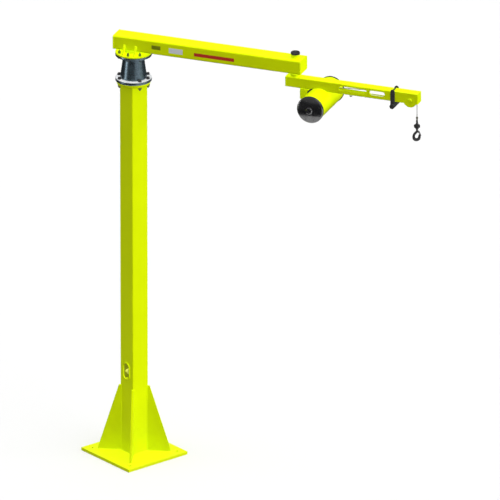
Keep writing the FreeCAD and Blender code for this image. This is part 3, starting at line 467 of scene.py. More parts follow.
@dataclass(frozen=True)
class BlackCoat(Finish):
    """Glossy black coating over a cast cover, with a fine grain and greyed edges."""

    patches: Mottle | None = Mottle(30.0, 4.0, -0.05, 0.09)
    reliefs: tuple[Relief, ...] = (Relief(420.0, 0.00018, 0.22),)
    cloud: Mottle = Mottle(9.0)
    clouded: Colour = (1.9, 1.9, 1.9)
    rub: Mottle = Mottle(55.0, 4.0, high=0.8, start=0.45, end=0.65)
    rub_width: float = 0.0016
    edge: Colour = (0.10, 0.10, 0.105)

    def tint(self, graph: Graph) -> Socket:
        """A faint cloud and greyed edges.

        Args:
            graph: The material's graph.

        Returns:
            The colour.
        """
        cloud = graph.mix(self.colour, self.shade(self.clouded), graph.mottle(self.cloud))
        rubbed = graph.math("MULTIPLY", graph.edges(self.rub_width), graph.mottle(self.rub))
        return graph.mix(cloud, self.edge, rubbed)


@dataclass(frozen=True)
class Marked(Finish):
    """A finish of one colour with marks of another."""

    stain: Colour = (0.5, 0.5, 0.5)
    marks: Mottle = Mottle(18.0)

    def tint(self, graph: Graph) -> Socket:
        """The colour with its marks."""
        return graph.mix(self.colour, self.stain, graph.mottle(self.marks))


@dataclass(frozen=True)
class MouldedRubber(Marked):
    """Matt moulded rubber with a dusty bloom and a fine mould grain."""

    patches: Mottle | None = Mottle(60.0, low=-0.08, high=0.08)
    reliefs: tuple[Relief, ...] = (Relief(800.0, 0.0002, 0.35),)
    stain: Colour = (0.060, 0.060, 0.062)
    marks: Mottle = Mottle(18.0, 5.0, high=0.8)


@dataclass(frozen=True)
class BareMetal(Marked):
    """Plated, drawn or forged metal with small stains, uneven gloss and surface grain."""

    patches: Mottle | None = Mottle(90.0, 4.0, -0.07, 0.12)
    reliefs: tuple[Relief, ...] = (Relief(240.0, 0.00016, 0.3, 3.0),)
    stain: Colour = (0.30, 0.29, 0.27)
    marks: Mottle = Mottle(70.0, 5.0, start=0.48, end=0.74)


@dataclass(frozen=True)
class Film(Marked):
    """Thin plain film with a faint ripple and scuffs."""

    patches: Mottle | None = Mottle(45.0, low=-0.05, high=0.1)
    reliefs: tuple[Relief, ...] = (Relief(35.0, 0.0006, 0.12),)
    stain: Colour = (0.70, 0.70, 0.68)
    marks: Mottle = Mottle(90.0, 5.0, high=0.5, start=0.55, end=0.75, stretch=(0.25, 1.0, 1.0))


@dataclass(frozen=True)
class StageCloth(Marked):
    """Plain stage surface with the faintest mottling."""

    marks: Mottle = Mottle(0.35, 2.0)


YELLOW_PAINT = PowderCoat("lemon_powder_coat", Slot.YELLOW, (0.71, 0.86, 0.001), 0.42, gloss=0.05)
# Column paint with painted shade on the tube's inner walls
TUBE_PAINT = replace(YELLOW_PAINT, name="column_powder_coat", painted_inner_shade_reach=0.0735)
PLATE_PAINT = replace(YELLOW_PAINT, name="plate_powder_coat", dusty=(0.66, 0.74, 0.01))
# Arm paint with painted shade on the tube's inner floor and on its sides by the balancer's barrel
ARM_PAINT = replace(YELLOW_PAINT, name="arm_powder_coat", painted_tube_floor_shade_below=3.316, painted_shade_at=(1.585, 0.0, 3.310))
# Inlet paint with painted shade on its lower part
INLET_PAINT = PowderCoat("inlet_powder_coat", Slot.YELLOW, (0.96, 0.98, 0.16), 0.30, painted_inner_shade_below=0.678)
TURNED_STEEL = TurnedSteel("turned_steel", Slot.STEEL, (0.150, 0.210, 0.250), 0.26, 0.86)
BLACK_COAT = BlackCoat("black_cover_coat", Slot.BLACK, (0.010, 0.010, 0.011), 0.14, ior=2.4)
BLACK_RUBBER = MouldedRubber("moulded_rubber", Slot.RUBBER, (0.012, 0.012, 0.013), 0.62, gloss=0.35)
ROPE_WIRE = BareMetal("rope_wire", Slot.ROPE, (0.40, 0.40, 0.39), 0.38, 0.35, stain=(0.20, 0.19, 0.17),
                      reliefs=(Relief(900.0, 0.00016, 0.3, 3.0),))
ZINC_PLATE = BareMetal("zinc_plate", Slot.ZINC, (0.48, 0.49, 0.50), 0.34, 0.45)
YELLOW_ZINC = BareMetal("yellow_zinc", Slot.ZINC, (0.19, 0.215, 0.035), 0.42, 0.40, stain=(0.10, 0.105, 0.03))
FORGED_BLACK = BareMetal("forged_black", Slot.DARK, (0.022, 0.022, 0.024), 0.44, 0.25, stain=(0.05, 0.047, 0.043))
PRESSED_SLEEVE = BareMetal("pressed_sleeve", Slot.DARK, (0.115, 0.112, 0.075), 0.40, 0.30, stain=(0.06, 0.055, 0.04))
BOLT_STEEL = BareMetal("bolt_steel", Slot.DARK, (0.045, 0.047, 0.052), 0.36, 0.55, stain=(0.09, 0.08, 0.07))
PLAIN_LABEL = Film("plain_label", Slot.YELLOW, (0.72, 0.74, 0.78), 0.36)
RED_STRIPE = Film("red_stripe", Slot.YELLOW, (0.52, 0.030, 0.012), 0.36, stain=(0.60, 0.12, 0.05))
OLIVE_TAG = Film("olive_tag", Slot.YELLOW, (0.19, 0.23, 0.004), 0.50, gloss=0.1, stain=(0.30, 0.35, 0.02))
FLOOR_FINISH = StageCloth("pale_floor", Slot.STEEL, (0.685,) * 3, 0.9, gloss=0.05, stain=(0.674725,) * 3)
FLAG_FINISH = StageCloth("black_flag", Slot.RUBBER, (0.004,) * 3, 0.9, gloss=0.0, stain=(0.00394,) * 3)

NODE_FINISHES: dict[Finish, tuple[str, ...]] = {
    PLATE_PAINT: ("base_plate",),
    TUBE_PAINT: ("column_tube",),
    ARM_PAINT: ("secondary_tube",),
    INLET_PAINT: ("air_inlet",),
    TURNED_STEEL: ("bearing_flange", "bearing_housing", "swivel_spindle"),
    BLACK_COAT: ("balancer_front_cover", "balancer_rear_cover"),
    BLACK_RUBBER: ("elbow_cap", "bumper_roller", "bumper_hangers", "bumper_tie"),
    ROPE_WIRE: ("rope_run", "rope_drop"),
    ZINC_PLATE: ("elbow_pin", "sheave_pin", "sheave", "rope_outlet", "latch_pin"),
    PRESSED_SLEEVE: ("rope_socket",),
    FORGED_BLACK: ("swivel_body", "hook", "hook_latch"),
}
SOFT_EDGES: dict[float, tuple[str, ...]] = {
    0.0010: ("rope_socket",),
    0.0015: (
        "base_plate", "flange_ribs", "primary_rear_cap", "primary_front_cap", "secondary_rear_cap",
        "head_cheek_front", "head_cheek_rear", "balancer_hanger", "bumper_hangers", "air_inlet", "elbow_collar",
        "swivel_spindle",
    ),
    0.0020: (
        "base_gussets", "column_top_plate", "bearing_flange", "arm_flange", "swivel_body", "balancer_front_cover",
        "balancer_rear_cover",
    ),
}


@dataclass(frozen=True)
class Datum:
    """Heights, places and sizes of the frame that the added pieces sit on, in metres."""

    base_turn: float = math.radians(60.0)
    plate_top: float = 0.025
    column_side: float = 0.155
    gusset_tall: float = 0.545
    gusset_foot: float = 0.174
    gusset_thick: float = 0.016
    column_top: float = 3.110
    housing_foot: float = 3.158
    spindle_flange_low: float = 3.343
    arm_flange_high: float = 3.373
    bolt_circle: float = 0.120
    boss_radius: float = 0.073
    cap_thick: float = 0.006
    primary_low: float = 3.397
    primary_high: float = 3.508
    primary_half: float = 0.075
    primary_corner: float = 0.012
    primary_back: float = -0.145
    primary_end: float = 1.411
    rib_spread: float = 0.047
    rib_thick: float = 0.012
    rib_reach: float = 0.043
    rib_tall: float = 0.073
    elbow_x: float = 1.341
    sleeve_radius: float = 0.033
    collar_radius: float = 0.037
    secondary_low: float = 3.274
    secondary_high: float = 3.358
    secondary_half: float = 0.042
    secondary_corner: float = 0.008
    secondary_back: float = 1.273
    seam_x: float = 2.176
    sheave_x: float = 2.302
    sheave_level: float = 3.300
    sheave_pitch: float = 0.044
    rope_x: float = 2.346
    rope_radius: float = 0.0032
    socket_high: float = 3.158
    swivel_high: float = 3.095
    outlet_end_x: float = 1.607
    outlet_level: float = 3.302
    balancer_x: float = 1.555
    balancer_level: float = 3.192
    barrel_radius: float = 0.104
    barrel_front: float = -0.230
    barrel_rear: float = 0.210
    cover_rim: float = 0.020
    cover_foot_radius: float = 0.102
    cover_dome: float = 0.016
    cover_hub_tall: float = 0.024
    hanger_start: float = 1.394
    bumper_x: float = 2.161
    bumper_plate: float = 0.006
    tie_level: float = 3.3635
    hook_turn: float = math.radians(240.0)
    hook_collar: float = 3.051
    latch_out: float = 0.015
    latch_drop: float = 0.020
    latch_half: float = 0.007
    latch_end_x: float = -0.023
    latch_end_drop: float = 0.0385


DATUM = Datum()


def shift(x: float, y: float, z: float) -> Matrix:
    """A move without a turn."""
    return Matrix.Translation(Vector((x, y, z)))


def circle(reach: float, sides: int, level: float = 0.0) -> list[Vector]:
    """Points round the Z axis at a radius and a height."""
    angles = (2 * math.pi * i / sides for i in range(sides))
    return [Vector((reach * math.cos(a), reach * math.sin(a), level)) for a in angles]


def box_loop(x: float, half: float, low: float, high: float, r: float, steps: int = 5) -> list[Vector]:
    """Points round a tube's outside with its round corners, at one place along it.

    Args:
        x: Place along the tube.
        half: Half its width.
        low: Its underside.
        high: Its top.
        r: Its corner radius.
        steps: Points in each corner.

    Returns:
        The points, in order.
    """
    points = []
    centres = ((half - r, high - r), (r - half, high - r), (r - half, low + r), (half - r, low + r))
    for quarter, (y, z) in enumerate(centres):
        for i in range(steps + 1):
            a = math.pi / 2 * (quarter + i / steps)
            points.append(Vector((x, y + r * math.cos(a), z + r * math.sin(a))))
    return points


def soften(piece: Object, width: float, angle: float) -> bpy.types.Modifier:
    """Round the edges of a piece.

    Args:
        piece: The piece.
        width: Width of the rounding.
        angle: Angle of the flattest edge that is rounded, in radians.

    Returns:
        The modifier.
    """
    edge = piece.modifiers.new("edge", "BEVEL")
    edge.width, edge.segments = width, 2
    edge.limit_method, edge.angle_limit = "ANGLE", angle
    return edge


class Solid:
    """One mesh in the making, built from turned, hexagonal, beaded and flat forms."""

    def __init__(self, name: str) -> None:
        """Start an empty mesh for the piece of that name."""
        self.name = name
        self.mesh = bmesh.new()

    def rings(self, loops: Sequence[Sequence[Vector]], closed: bool = True) -> None:
        """Skin a run of rings of equal count.

        Args:
            loops: The rings' points, in order.
            closed: Whether to cap the two ends.
        """
        made = [[self.mesh.verts.new(point) for point in loop] for loop in loops]
        for low, high in zip(made, made[1:]):
            count = len(low)
            for i in range(count):
                self.mesh.faces.new((low[i], low[(i + 1) % count], high[(i + 1) % count], high[i]))
        if closed:
            self.mesh.faces.new(list(reversed(made[0])))
            self.mesh.faces.new(made[-1])

    def turned(self, profile: Profile, at: Matrix, sides: int = 24) -> None:
        """Turn a profile of radii and heights, from low to high, about the Z axis of a local frame."""
        self.rings([[at @ point for point in circle(reach, sides, height)] for reach, height in profile])

    def bead(self, points: Sequence[Vector], radius: float, looped: bool = False) -> None:
        """Lay a rippled weld bead along a line.

        Args:
            points: Corners of the line.
            radius: Radius of the bead.
            looped: Whether the line closes on itself.
        """
        corners = list(points) + ([points[0]] if looped else [])
        spine: list[Vector] = []
        for start, end in zip(corners, corners[1:]):
            count = max(2, int((end - start).length / BEAD_STEP))
            spine.extend(start.lerp(end, i / count) for i in range(count))
        spine.append(corners[-1])
        last = len(spine) - 1
        loops = []
        for i, spot in enumerate(spine):
            ahead = (spine[min(i + 1, last)] - spine[max(i - 1, 0)]).normalized()
            side = ahead.orthogonal().normalized()
            other = ahead.cross(side)
            ripple = 1.0 + sum(size * math.sin(i * pace) for size, pace in RIPPLES)
            taper = 1.0 if looped else min(1.0, BEAD_START + BEAD_GROWTH * min(i, last - i))
            loops.append([spot + side * p.x + other * p.y for p in circle(radius * ripple * taper, BEAD_SIDES)])
        self.rings(loops)

    def ring_bead(self, at: Matrix, reach: float, radius: float, sides: int = 96) -> None:
        """Lay a rippled weld bead round a circle.

        Args:
            at: Frame whose Z axis the circle goes round.
            reach: Radius of the circle.
            radius: Radius of the bead.
            sides: Steps round the circle.
        """
        loops = []
        for i in range(sides + 1):
            turn = Matrix.Rotation(2 * math.pi * i / sides, 4, "Z")
            ripple = 1.0 + RING_RIPPLE * math.sin(2 * math.pi * i * RING_RIPPLES / sides)
            loops.append([at @ turn @ Vector((reach + p.x, 0.0, p.y)) for p in circle(radius * ripple, BEAD_SIDES)])
        self.rings(loops, closed=False)

    def slab(self, low: Point, high: Point) -> None:
        """Add a thin rectangular plate between two corners."""
        for vert in bmesh.ops.create_cube(self.mesh, size=1.0)["verts"]:
            vert.co = [(a + b) / 2 + share * (b - a) for a, b, share in zip(low, high, vert.co)]

    def finish(self, coat: Finish, body: Body | None = None, bevel: float = 0.0, smooth: float = 35.0) -> Object:
        """Turn the mesh into an object.

        Args:
            coat: Finish of the object.
            body: Body that it rides on, or None to leave it on no body.
            bevel: Width of its rounded edges, or 0 for none.
            smooth: Angle under which edges are shaded smooth, in degrees.

        Returns:
            The Blender object.
        """
        bmesh.ops.recalc_face_normals(self.mesh, faces=self.mesh.faces)
        data = bpy.data.meshes.new(self.name)
        self.mesh.to_mesh(data)
        self.mesh.free()
        data.materials.append(coat.material())
        data.set_sharp_from_angle(angle=math.radians(smooth))
        for face in data.polygons:
            face.use_smooth = True
        piece = bpy.data.objects.new(self.name, data)
        bpy.context.scene.collection.objects.link(piece)
        if bevel:
            soften(piece, bevel, PIECE_EDGE)
        if body:
            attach(piece, body.value)
        LOG.info("%s: %s, %d faces", self.name, coat.name, len(data.polygons))
        return piece


@dataclass(frozen=True)
class HexFastener:
    """A hexagon bolt or nut with its washer, and a threaded stud's end where it has one, in metres."""

    across: float
    head: float
    washer: float
    washer_thick: float = 0.0025
    stud: float = 0.0
    turn: float = 0.0
    thread: float = 0.0024
    chamfer: float = 0.90
    ease: Span = (0.18, 0.0022)

    def add(self, solid: Solid, place: Point, way: Around, index: int = 1) -> None:
        """Add the fastener to a mesh.

        Args:
            solid: Mesh to add to.
            place: Where its seat is.
            way: Which way its head points.
            index: How many times its hexagon is turned on.
        """
        at = shift(*place) @ way.value
        solid.turned([(self.washer * out, self.washer_thick * up) for out, up in WASHER_SHAPE], at)
        corner, seat = self.across / math.sqrt(3.0), self.washer_thick
        top = seat + self.head
        eased, ease = corner * self.chamfer, min(self.ease[0] * self.head, self.ease[1])
        flats = ((eased, seat), (corner, seat + ease), (corner, top - ease), (eased, top))
        solid.turned(flats, at @ Matrix.Rotation(self.turn * index, 4, "Z"), 6)
        if self.stud:
            crest = self.across / STUD_PART
            root = crest * THREAD_ROOT
            count = max(2, int(self.stud / self.thread))
            threads = [(crest if i % 2 else root, top + self.stud * (i + 0.5) / count) for i in range(count)]
            foot, tip = (crest * STUD_FOOT, seat + self.head * STUD_FROM), (crest * STUD_TIP, top + self.stud)
            solid.turned([foot, *threads, tip], at, 18)


@dataclass
class FrameDress:
    """Gives each node of the frame its finish and softened edges."""

    nodes: dict[str, Object]
    join_gap: float = 0.00002

    def build(self) -> None:
        """Put finishes and edge modifiers on the nodes, in yellow where no other finish is named."""
        coats = {name: coat for coat, names in NODE_FINISHES.items() for name in names}
        for name, node in self.nodes.items():
            coat = coats.get(name, YELLOW_PAINT)
            node.data.materials.clear()
            node.data.materials.append(coat.material())
            LOG.info("%s: %s", name, coat.name)
        for width, names in SOFT_EDGES.items():
            for name in names:
                self.nodes[name].modifiers.new("join", "WELD").merge_threshold = self.join_gap
                soften(self.nodes[name], width, NODE_EDGE).harden_normals = True


@dataclass
class ColumnDetail:
    """Welds, bolts and inlet spigot of the column."""

    weld: float = 0.0048
    gusset_weld: float = 0.00384
    bolt: HexFastener = HexFastener(0.024, 0.013, 0.0155, turn=0.4)
    nut: HexFastener = HexFastener(0.024, 0.014, 0.0155, stud=0.009, turn=0.7)
    bolt_count: int = 8
    plugged: int = 6
    plug: Profile = ((0.008272, 3.1096), (0.0088, 3.111), (0.0088, 3.157), (0.008272, 3.1584))
    spigot_from: Point = (-0.050, 0.016, 0.684)
    spigot_to: Point = (-0.062, 0.033, 0.706)
    spigot: Profile = (
        (0.0070, 0.0), (0.0070, 0.006), (0.0115, 0.007), (0.0115, 0.018), (0.0105, 0.023), (0.0070, 0.026),
        (0.0020, 0.027),
    )

    def build(self) -> None:
        """Make all the column's added pieces."""
        self.tube_weld("column_foot_weld", DATUM.plate_top)
        self.gusset_welds()
        self.tube_weld("column_head_weld", DATUM.column_top)
        self.flange_bolts()
        self.inlet_spigot()

    def on_base(self, x: float, y: float, z: float, extra: float = 0.0) -> Vector:
        """A point of the base's own square, turned into the frame, with an extra turn in radians."""
        return Matrix.Rotation(DATUM.base_turn + extra, 3, "Z") @ Vector((x, y, z))

    def tube_weld(self, name: str, level: float) -> None:
        """Lay a weld bead round the tube.

        Args:
            name: Name of the piece.
            level: Height of the bead.
        """
        solid = Solid(name)
        half = DATUM.column_side / 2
        square = ((half, half), (-half, half), (-half, -half), (half, -half))
        solid.bead([self.on_base(x, y, level) for x, y in square], self.weld, looped=True)
        solid.finish(YELLOW_PAINT, Body.COLUMN)

    def gusset_welds(self) -> None:
        """Weld beads along both sides of each gusset, up the tube and out along the plate, and across its toe."""
        solid = Solid("gusset_welds")
        corner = DATUM.column_side / math.sqrt(2.0)
        half = DATUM.gusset_thick / 2
        low, high = DATUM.plate_top, DATUM.plate_top + DATUM.gusset_tall
        root, toe = corner - half, corner + DATUM.gusset_foot
        for quarter in range(4):
            extra = math.radians(45.0 + 90.0 * quarter)
            lines = [((toe, half, low), (toe, -half, low))]
            for side in (half, -half):
                lines += [((root, side, low), end) for end in ((root, side, high), (toe, side, low))]
            for line in lines:
                solid.bead([self.on_base(*point, extra) for point in line], self.gusset_weld)
        solid.finish(YELLOW_PAINT, Body.COLUMN)

    def flange_bolts(self) -> None:
        """Bolts on the bearing flange and nuts under the top plate, with a flush steel plug in one hole."""
        heads, nuts = Solid("bearing_flange_bolts"), Solid("top_plate_nuts")
        for i, spot in enumerate(circle(DATUM.bolt_circle, self.bolt_count)):
            if i == self.plugged:
                plug = Solid("flange_plug")
                plug.turned(self.plug, Matrix.Translation(spot))
                plug.finish(TURNED_STEEL, Body.COLUMN)
                continue
            self.bolt.add(heads, (spot.x, spot.y, DATUM.housing_foot), Around.UP, i)
            self.nut.add(nuts, (spot.x, spot.y, DATUM.column_top), Around.DOWN, i)
        heads.finish(BOLT_STEEL, Body.COLUMN)
        nuts.finish(YELLOW_ZINC, Body.COLUMN)

    def inlet_spigot(self) -> None:
        """Capped spigot on the air inlet's hexagon, turned towards the hand hole."""
        solid = Solid("inlet_spigot")
        start, end = self.on_base(*self.spigot_from), self.on_base(*self.spigot_to)
        facing = (end - start).to_track_quat("Z", "Y").to_matrix().to_4x4()
        solid.turned(self.spigot, Matrix.Translation(start) @ facing)
        solid.finish(INLET_PAINT, Body.COLUMN)


@dataclass
class PrimaryDetail:
    """Welds, studs and plain markings of the primary arm."""

    weld: float = 0.0038
    cap_weld: float = 0.00209
    nut: HexFastener = HexFastener(0.019, 0.016, 0.0125, stud=0.008, turn=0.5)
    under: HexFastener = HexFastener(0.024, 0.010, 0.0155, turn=0.3)
    stud_angles: tuple[float, ...] = (45.0, 90.0, 135.0, -45.0, -90.0, -135.0)
    film: float = 0.0004
    film_sunk: float = 0.001
    films: tuple[tuple[str, Finish, Span, Span], ...] = (
        ("blank_label", PLAIN_LABEL, (0.322, 0.436), (3.428, 3.470)),
        ("plain_stripe", RED_STRIPE, (0.530, 0.862), (3.430, 3.458)),
        ("plain_tag", OLIVE_TAG, (0.178, 0.252), (3.440, 3.472)),
    )

    def build(self) -> None:
        """Make all the primary arm's added pieces."""
        self.flange_studs()
        self.rib_welds()
        self.seam_welds()
        self.elbow_welds()
        self.markings()

    def flange_studs(self) -> None:
        """Studs with nuts on the arm flange, and their heads below the spindle's flange."""
        tops, heads = Solid("arm_flange_nuts"), Solid("arm_flange_bolt_heads")
        for i, degrees in enumerate(self.stud_angles):
            a = math.radians(degrees)
            x, y = DATUM.bolt_circle * math.cos(a), DATUM.bolt_circle * math.sin(a)
            self.nut.add(tops, (x, y, DATUM.arm_flange_high), Around.UP, i)
            self.under.add(heads, (x, y, DATUM.spindle_flange_low), Around.DOWN, i)
        tops.finish(YELLOW_ZINC, Body.PRIMARY)
        heads.finish(BOLT_STEEL, Body.PRIMARY)

    def rib_welds(self) -> None:
        """Weld beads at the ribs' feet, up the arm's sides and round the boss."""
        solid = Solid("rib_welds")
        foot, arm = DATUM.arm_flange_high, DATUM.primary_low + DATUM.primary_corner
        half = DATUM.rib_thick / 2
        for x in (end * DATUM.rib_spread + edge for end in (1, -1) for edge in (half, -half)):
            for side in (1, -1):
                near, far = DATUM.primary_half * side, (DATUM.primary_half + DATUM.rib_reach) * side
                for line in (((near, foot), (far, foot)), ((near, arm), (near, foot + DATUM.rib_tall))):
                    solid.bead([Vector((x, y, z)) for y, z in line], self.weld)
        solid.ring_bead(shift(0.0, 0.0, foot), DATUM.boss_radius, self.weld)
        solid.finish(YELLOW_PAINT, Body.PRIMARY)

    def seam_welds(self) -> None:
        """Weld beads where the end caps close the tube."""
        solid = Solid("primary_cap_welds")
        size = (DATUM.primary_half, DATUM.primary_low, DATUM.primary_high, DATUM.primary_corner)
        for x in (DATUM.primary_back + DATUM.cap_thick, DATUM.primary_end - DATUM.cap_thick):
            solid.bead(box_loop(x, *size), self.cap_weld, looped=True)
        solid.finish(YELLOW_PAINT, Body.PRIMARY)

    def elbow_welds(self) -> None:
        """Weld beads round the elbow sleeve, above and below the arm."""
        solid = Solid("elbow_sleeve_welds")
        for level in (DATUM.primary_low, DATUM.primary_high):
            solid.ring_bead(shift(DATUM.elbow_x, 0.0, level), DATUM.sleeve_radius, self.weld)
        solid.finish(YELLOW_PAINT, Body.PRIMARY)

    def markings(self) -> None:
        """A blank label, a plain stripe and a plain tag on the arm's front face."""
        front, back = -DATUM.primary_half - self.film, -DATUM.primary_half + self.film_sunk
        for name, coat, (left, right), (low, high) in self.films:
            solid = Solid(name)
            solid.slab((left, front, low), (right, back, high))
            solid.finish(coat, Body.PRIMARY)


@dataclass
class SecondaryDetail:
    """Welds, fasteners and dark pads that stand for shadow, of the secondary arm and its head."""

    weld: float = 0.0032
    seam_weld: float = 0.00192
    weld_inset: float = 0.006
    axle_nut: HexFastener = HexFastener(0.030, 0.004, 0.0175, 0.0020, turn=0.3)
    tie_rivet: Profile = ((0.0075, 0.0), (0.0075, 0.001), (0.0060, 0.0028), (0.0030, 0.0038))
    guide_bolt: HexFastener = HexFastener(0.019, 0.009, 0.013, turn=0.2)
    guide_at: Span = (1.815, -0.037)
    pad_angles: Span = (122.0, 153.0)
    pad_steps: int = 24
    pad_thick: float = 0.011
    pad_taper: Span = (0.35, 0.22)
    pad_proud: float = 0.0015
    pad_sunk: float = 0.004
    pad_bite: float = 0.0005

    def build(self) -> None:
        """Make all the secondary arm's added pieces."""
        self.seam_welds()
        self.hanger_welds()
        self.saddle_shadow_pads()
        self.fasteners()

    def seam_welds(self) -> None:
        """Weld beads at the rear cap and at the head's seam, and round the elbow collar."""
        solid = Solid("secondary_seam_welds")
        size = (DATUM.secondary_half, DATUM.secondary_low, DATUM.secondary_high, DATUM.secondary_corner)
        for x in (DATUM.secondary_back + DATUM.cap_thick, DATUM.seam_x):
            solid.bead(box_loop(x, *size), self.seam_weld, looped=True)
        solid.ring_bead(shift(DATUM.elbow_x, 0.0, DATUM.secondary_high), DATUM.collar_radius, self.weld)
        solid.finish(YELLOW_PAINT, Body.SECONDARY)

    def hanger_welds(self) -> None:
        """Weld bead across the start of the balancer's hanger."""
        solid = Solid("hanger_welds")
        reach = DATUM.secondary_half - self.weld_inset
        line = [Vector((DATUM.hanger_start, y, DATUM.secondary_low)) for y in (-reach, reach)]
        solid.bead(line, self.weld)
        solid.finish(YELLOW_PAINT, Body.SECONDARY)

    def saddle_shadow_pads(self) -> None:
        """Black rubber pads between the balancer's barrel and its hanger, at the front and at the rear, put there as
        painted shadow in the gap between the two.
        """
        # Painted shadow: dark pads standing for the shadow in the gap between barrel and hanger
        solid = Solid("saddle_shadow_pads")
        start, end = (math.radians(angle) for angle in self.pad_angles)
        near = DATUM.barrel_radius - self.pad_bite
        for side, _ in SIDES:
            back, front = ((DATUM.secondary_half + out) * side for out in (-self.pad_sunk, self.pad_proud))
            loops = []
            for i in range(self.pad_steps + 1):
                a = start + (end - start) * i / self.pad_steps
                taper = min(1.0, self.pad_taper[0] + self.pad_taper[1] * min(i, self.pad_steps - i))
                far = DATUM.barrel_radius + self.pad_thick * taper
                loops.append([
                    Vector((DATUM.balancer_x + r * math.cos(a), y, DATUM.balancer_level + r * math.sin(a)))
                    for r, y in ((near, back), (far, back), (far, front), (near, front))
                ])
            solid.rings(loops)
        solid.finish(BLACK_RUBBER, Body.SECONDARY)

    def fasteners(self) -> None:
        """Nuts on the sheave's pin, rivet heads on the bumper's tie, and a bolt under the arm."""
        axle, tie, guide = Solid("sheave_pin_nuts"), Solid("bumper_tie_rivets"), Solid("underside_bolt")
        half = DATUM.secondary_half
        for side, way in SIDES:
            self.axle_nut.add(axle, (DATUM.sheave_x, half * side, DATUM.sheave_level), way)
            spot = shift(DATUM.bumper_x, (half + DATUM.bumper_plate) * side, DATUM.tie_level)
            tie.turned(self.tie_rivet, spot @ way.value, 20)
        axle.finish(YELLOW_PAINT, Body.SECONDARY)
        tie.finish(BLACK_RUBBER, Body.SECONDARY)
        self.guide_bolt.add(guide, (*self.guide_at, DATUM.secondary_low), Around.DOWN)
        guide.finish(ZINC_PLATE, Body.SECONDARY)


@dataclass
class BalancerDetail:
    """Screws and port threads of the balancer."""

    screw_circle: float = 0.084
    screw_count: int = 8
    screw: Profile = (
        (0.0054, -0.004), (0.0054, 0.0010), (0.00486, 0.0016), (0.0027, 0.0016), (0.00243, 0.0003), (0.0002, 0.0003),
    )
    thread_count: int = 5
    thread_pitch: float = 0.002
    thread_deep: float = 0.0105
    thread_reach: float = 0.0112
    thread_radius: float = 0.0007

    def build(self) -> None:
        """Make all the balancer's added pieces."""
        covers = [self.cover_frame(side, way) for side, way in SIDES]
        self.screws(covers)
        self.ports(covers)

    def cover_frame(self, side: int, way: Around) -> Matrix:
        """A frame on the rim face of the front (-1) or rear (1) cover, with Z pointing out."""
        face = (DATUM.barrel_front if side < 0 else DATUM.barrel_rear) + DATUM.cover_rim * side
        return shift(DATUM.balancer_x, face, DATUM.balancer_level) @ way.value

    def screws(self, covers: Sequence[Matrix]) -> None:
        """Low socket screws round both covers, square to the domes.

        Args:
            covers: Frames of the covers.
        """
        solid = Solid("cover_screws")
        share = self.screw_circle / DATUM.cover_foot_radius
        lean = math.atan(2 * DATUM.cover_dome * share / DATUM.cover_foot_radius)
        seat = shift(self.screw_circle, 0.0, DATUM.cover_dome * (1.0 - share ** 2)) @ Matrix.Rotation(lean, 4, "Y")
        for cover in covers:
            for i in range(self.screw_count):
                turn = Matrix.Rotation(2 * math.pi * (i + 0.5) / self.screw_count, 4, "Z")
                solid.turned(self.screw, cover @ turn @ seat, 18)
        solid.finish(BLACK_COAT, Body.SECONDARY)

    def ports(self, covers: Sequence[Matrix]) -> None:
        """Threads inside the covers' hub ports.

        Args:
            covers: Frames of the covers.
        """
        solid = Solid("port_threads")
        for cover in covers:
            for i in range(self.thread_count):
                level = DATUM.cover_hub_tall - self.thread_deep + self.thread_pitch * i
                spot = Matrix.Translation(cover @ Vector((0.0, 0.0, level)))
                solid.ring_bead(spot @ Around.FRONT.value, self.thread_reach, self.thread_radius, 32)
        solid.finish(BOLT_STEEL, Body.SECONDARY)


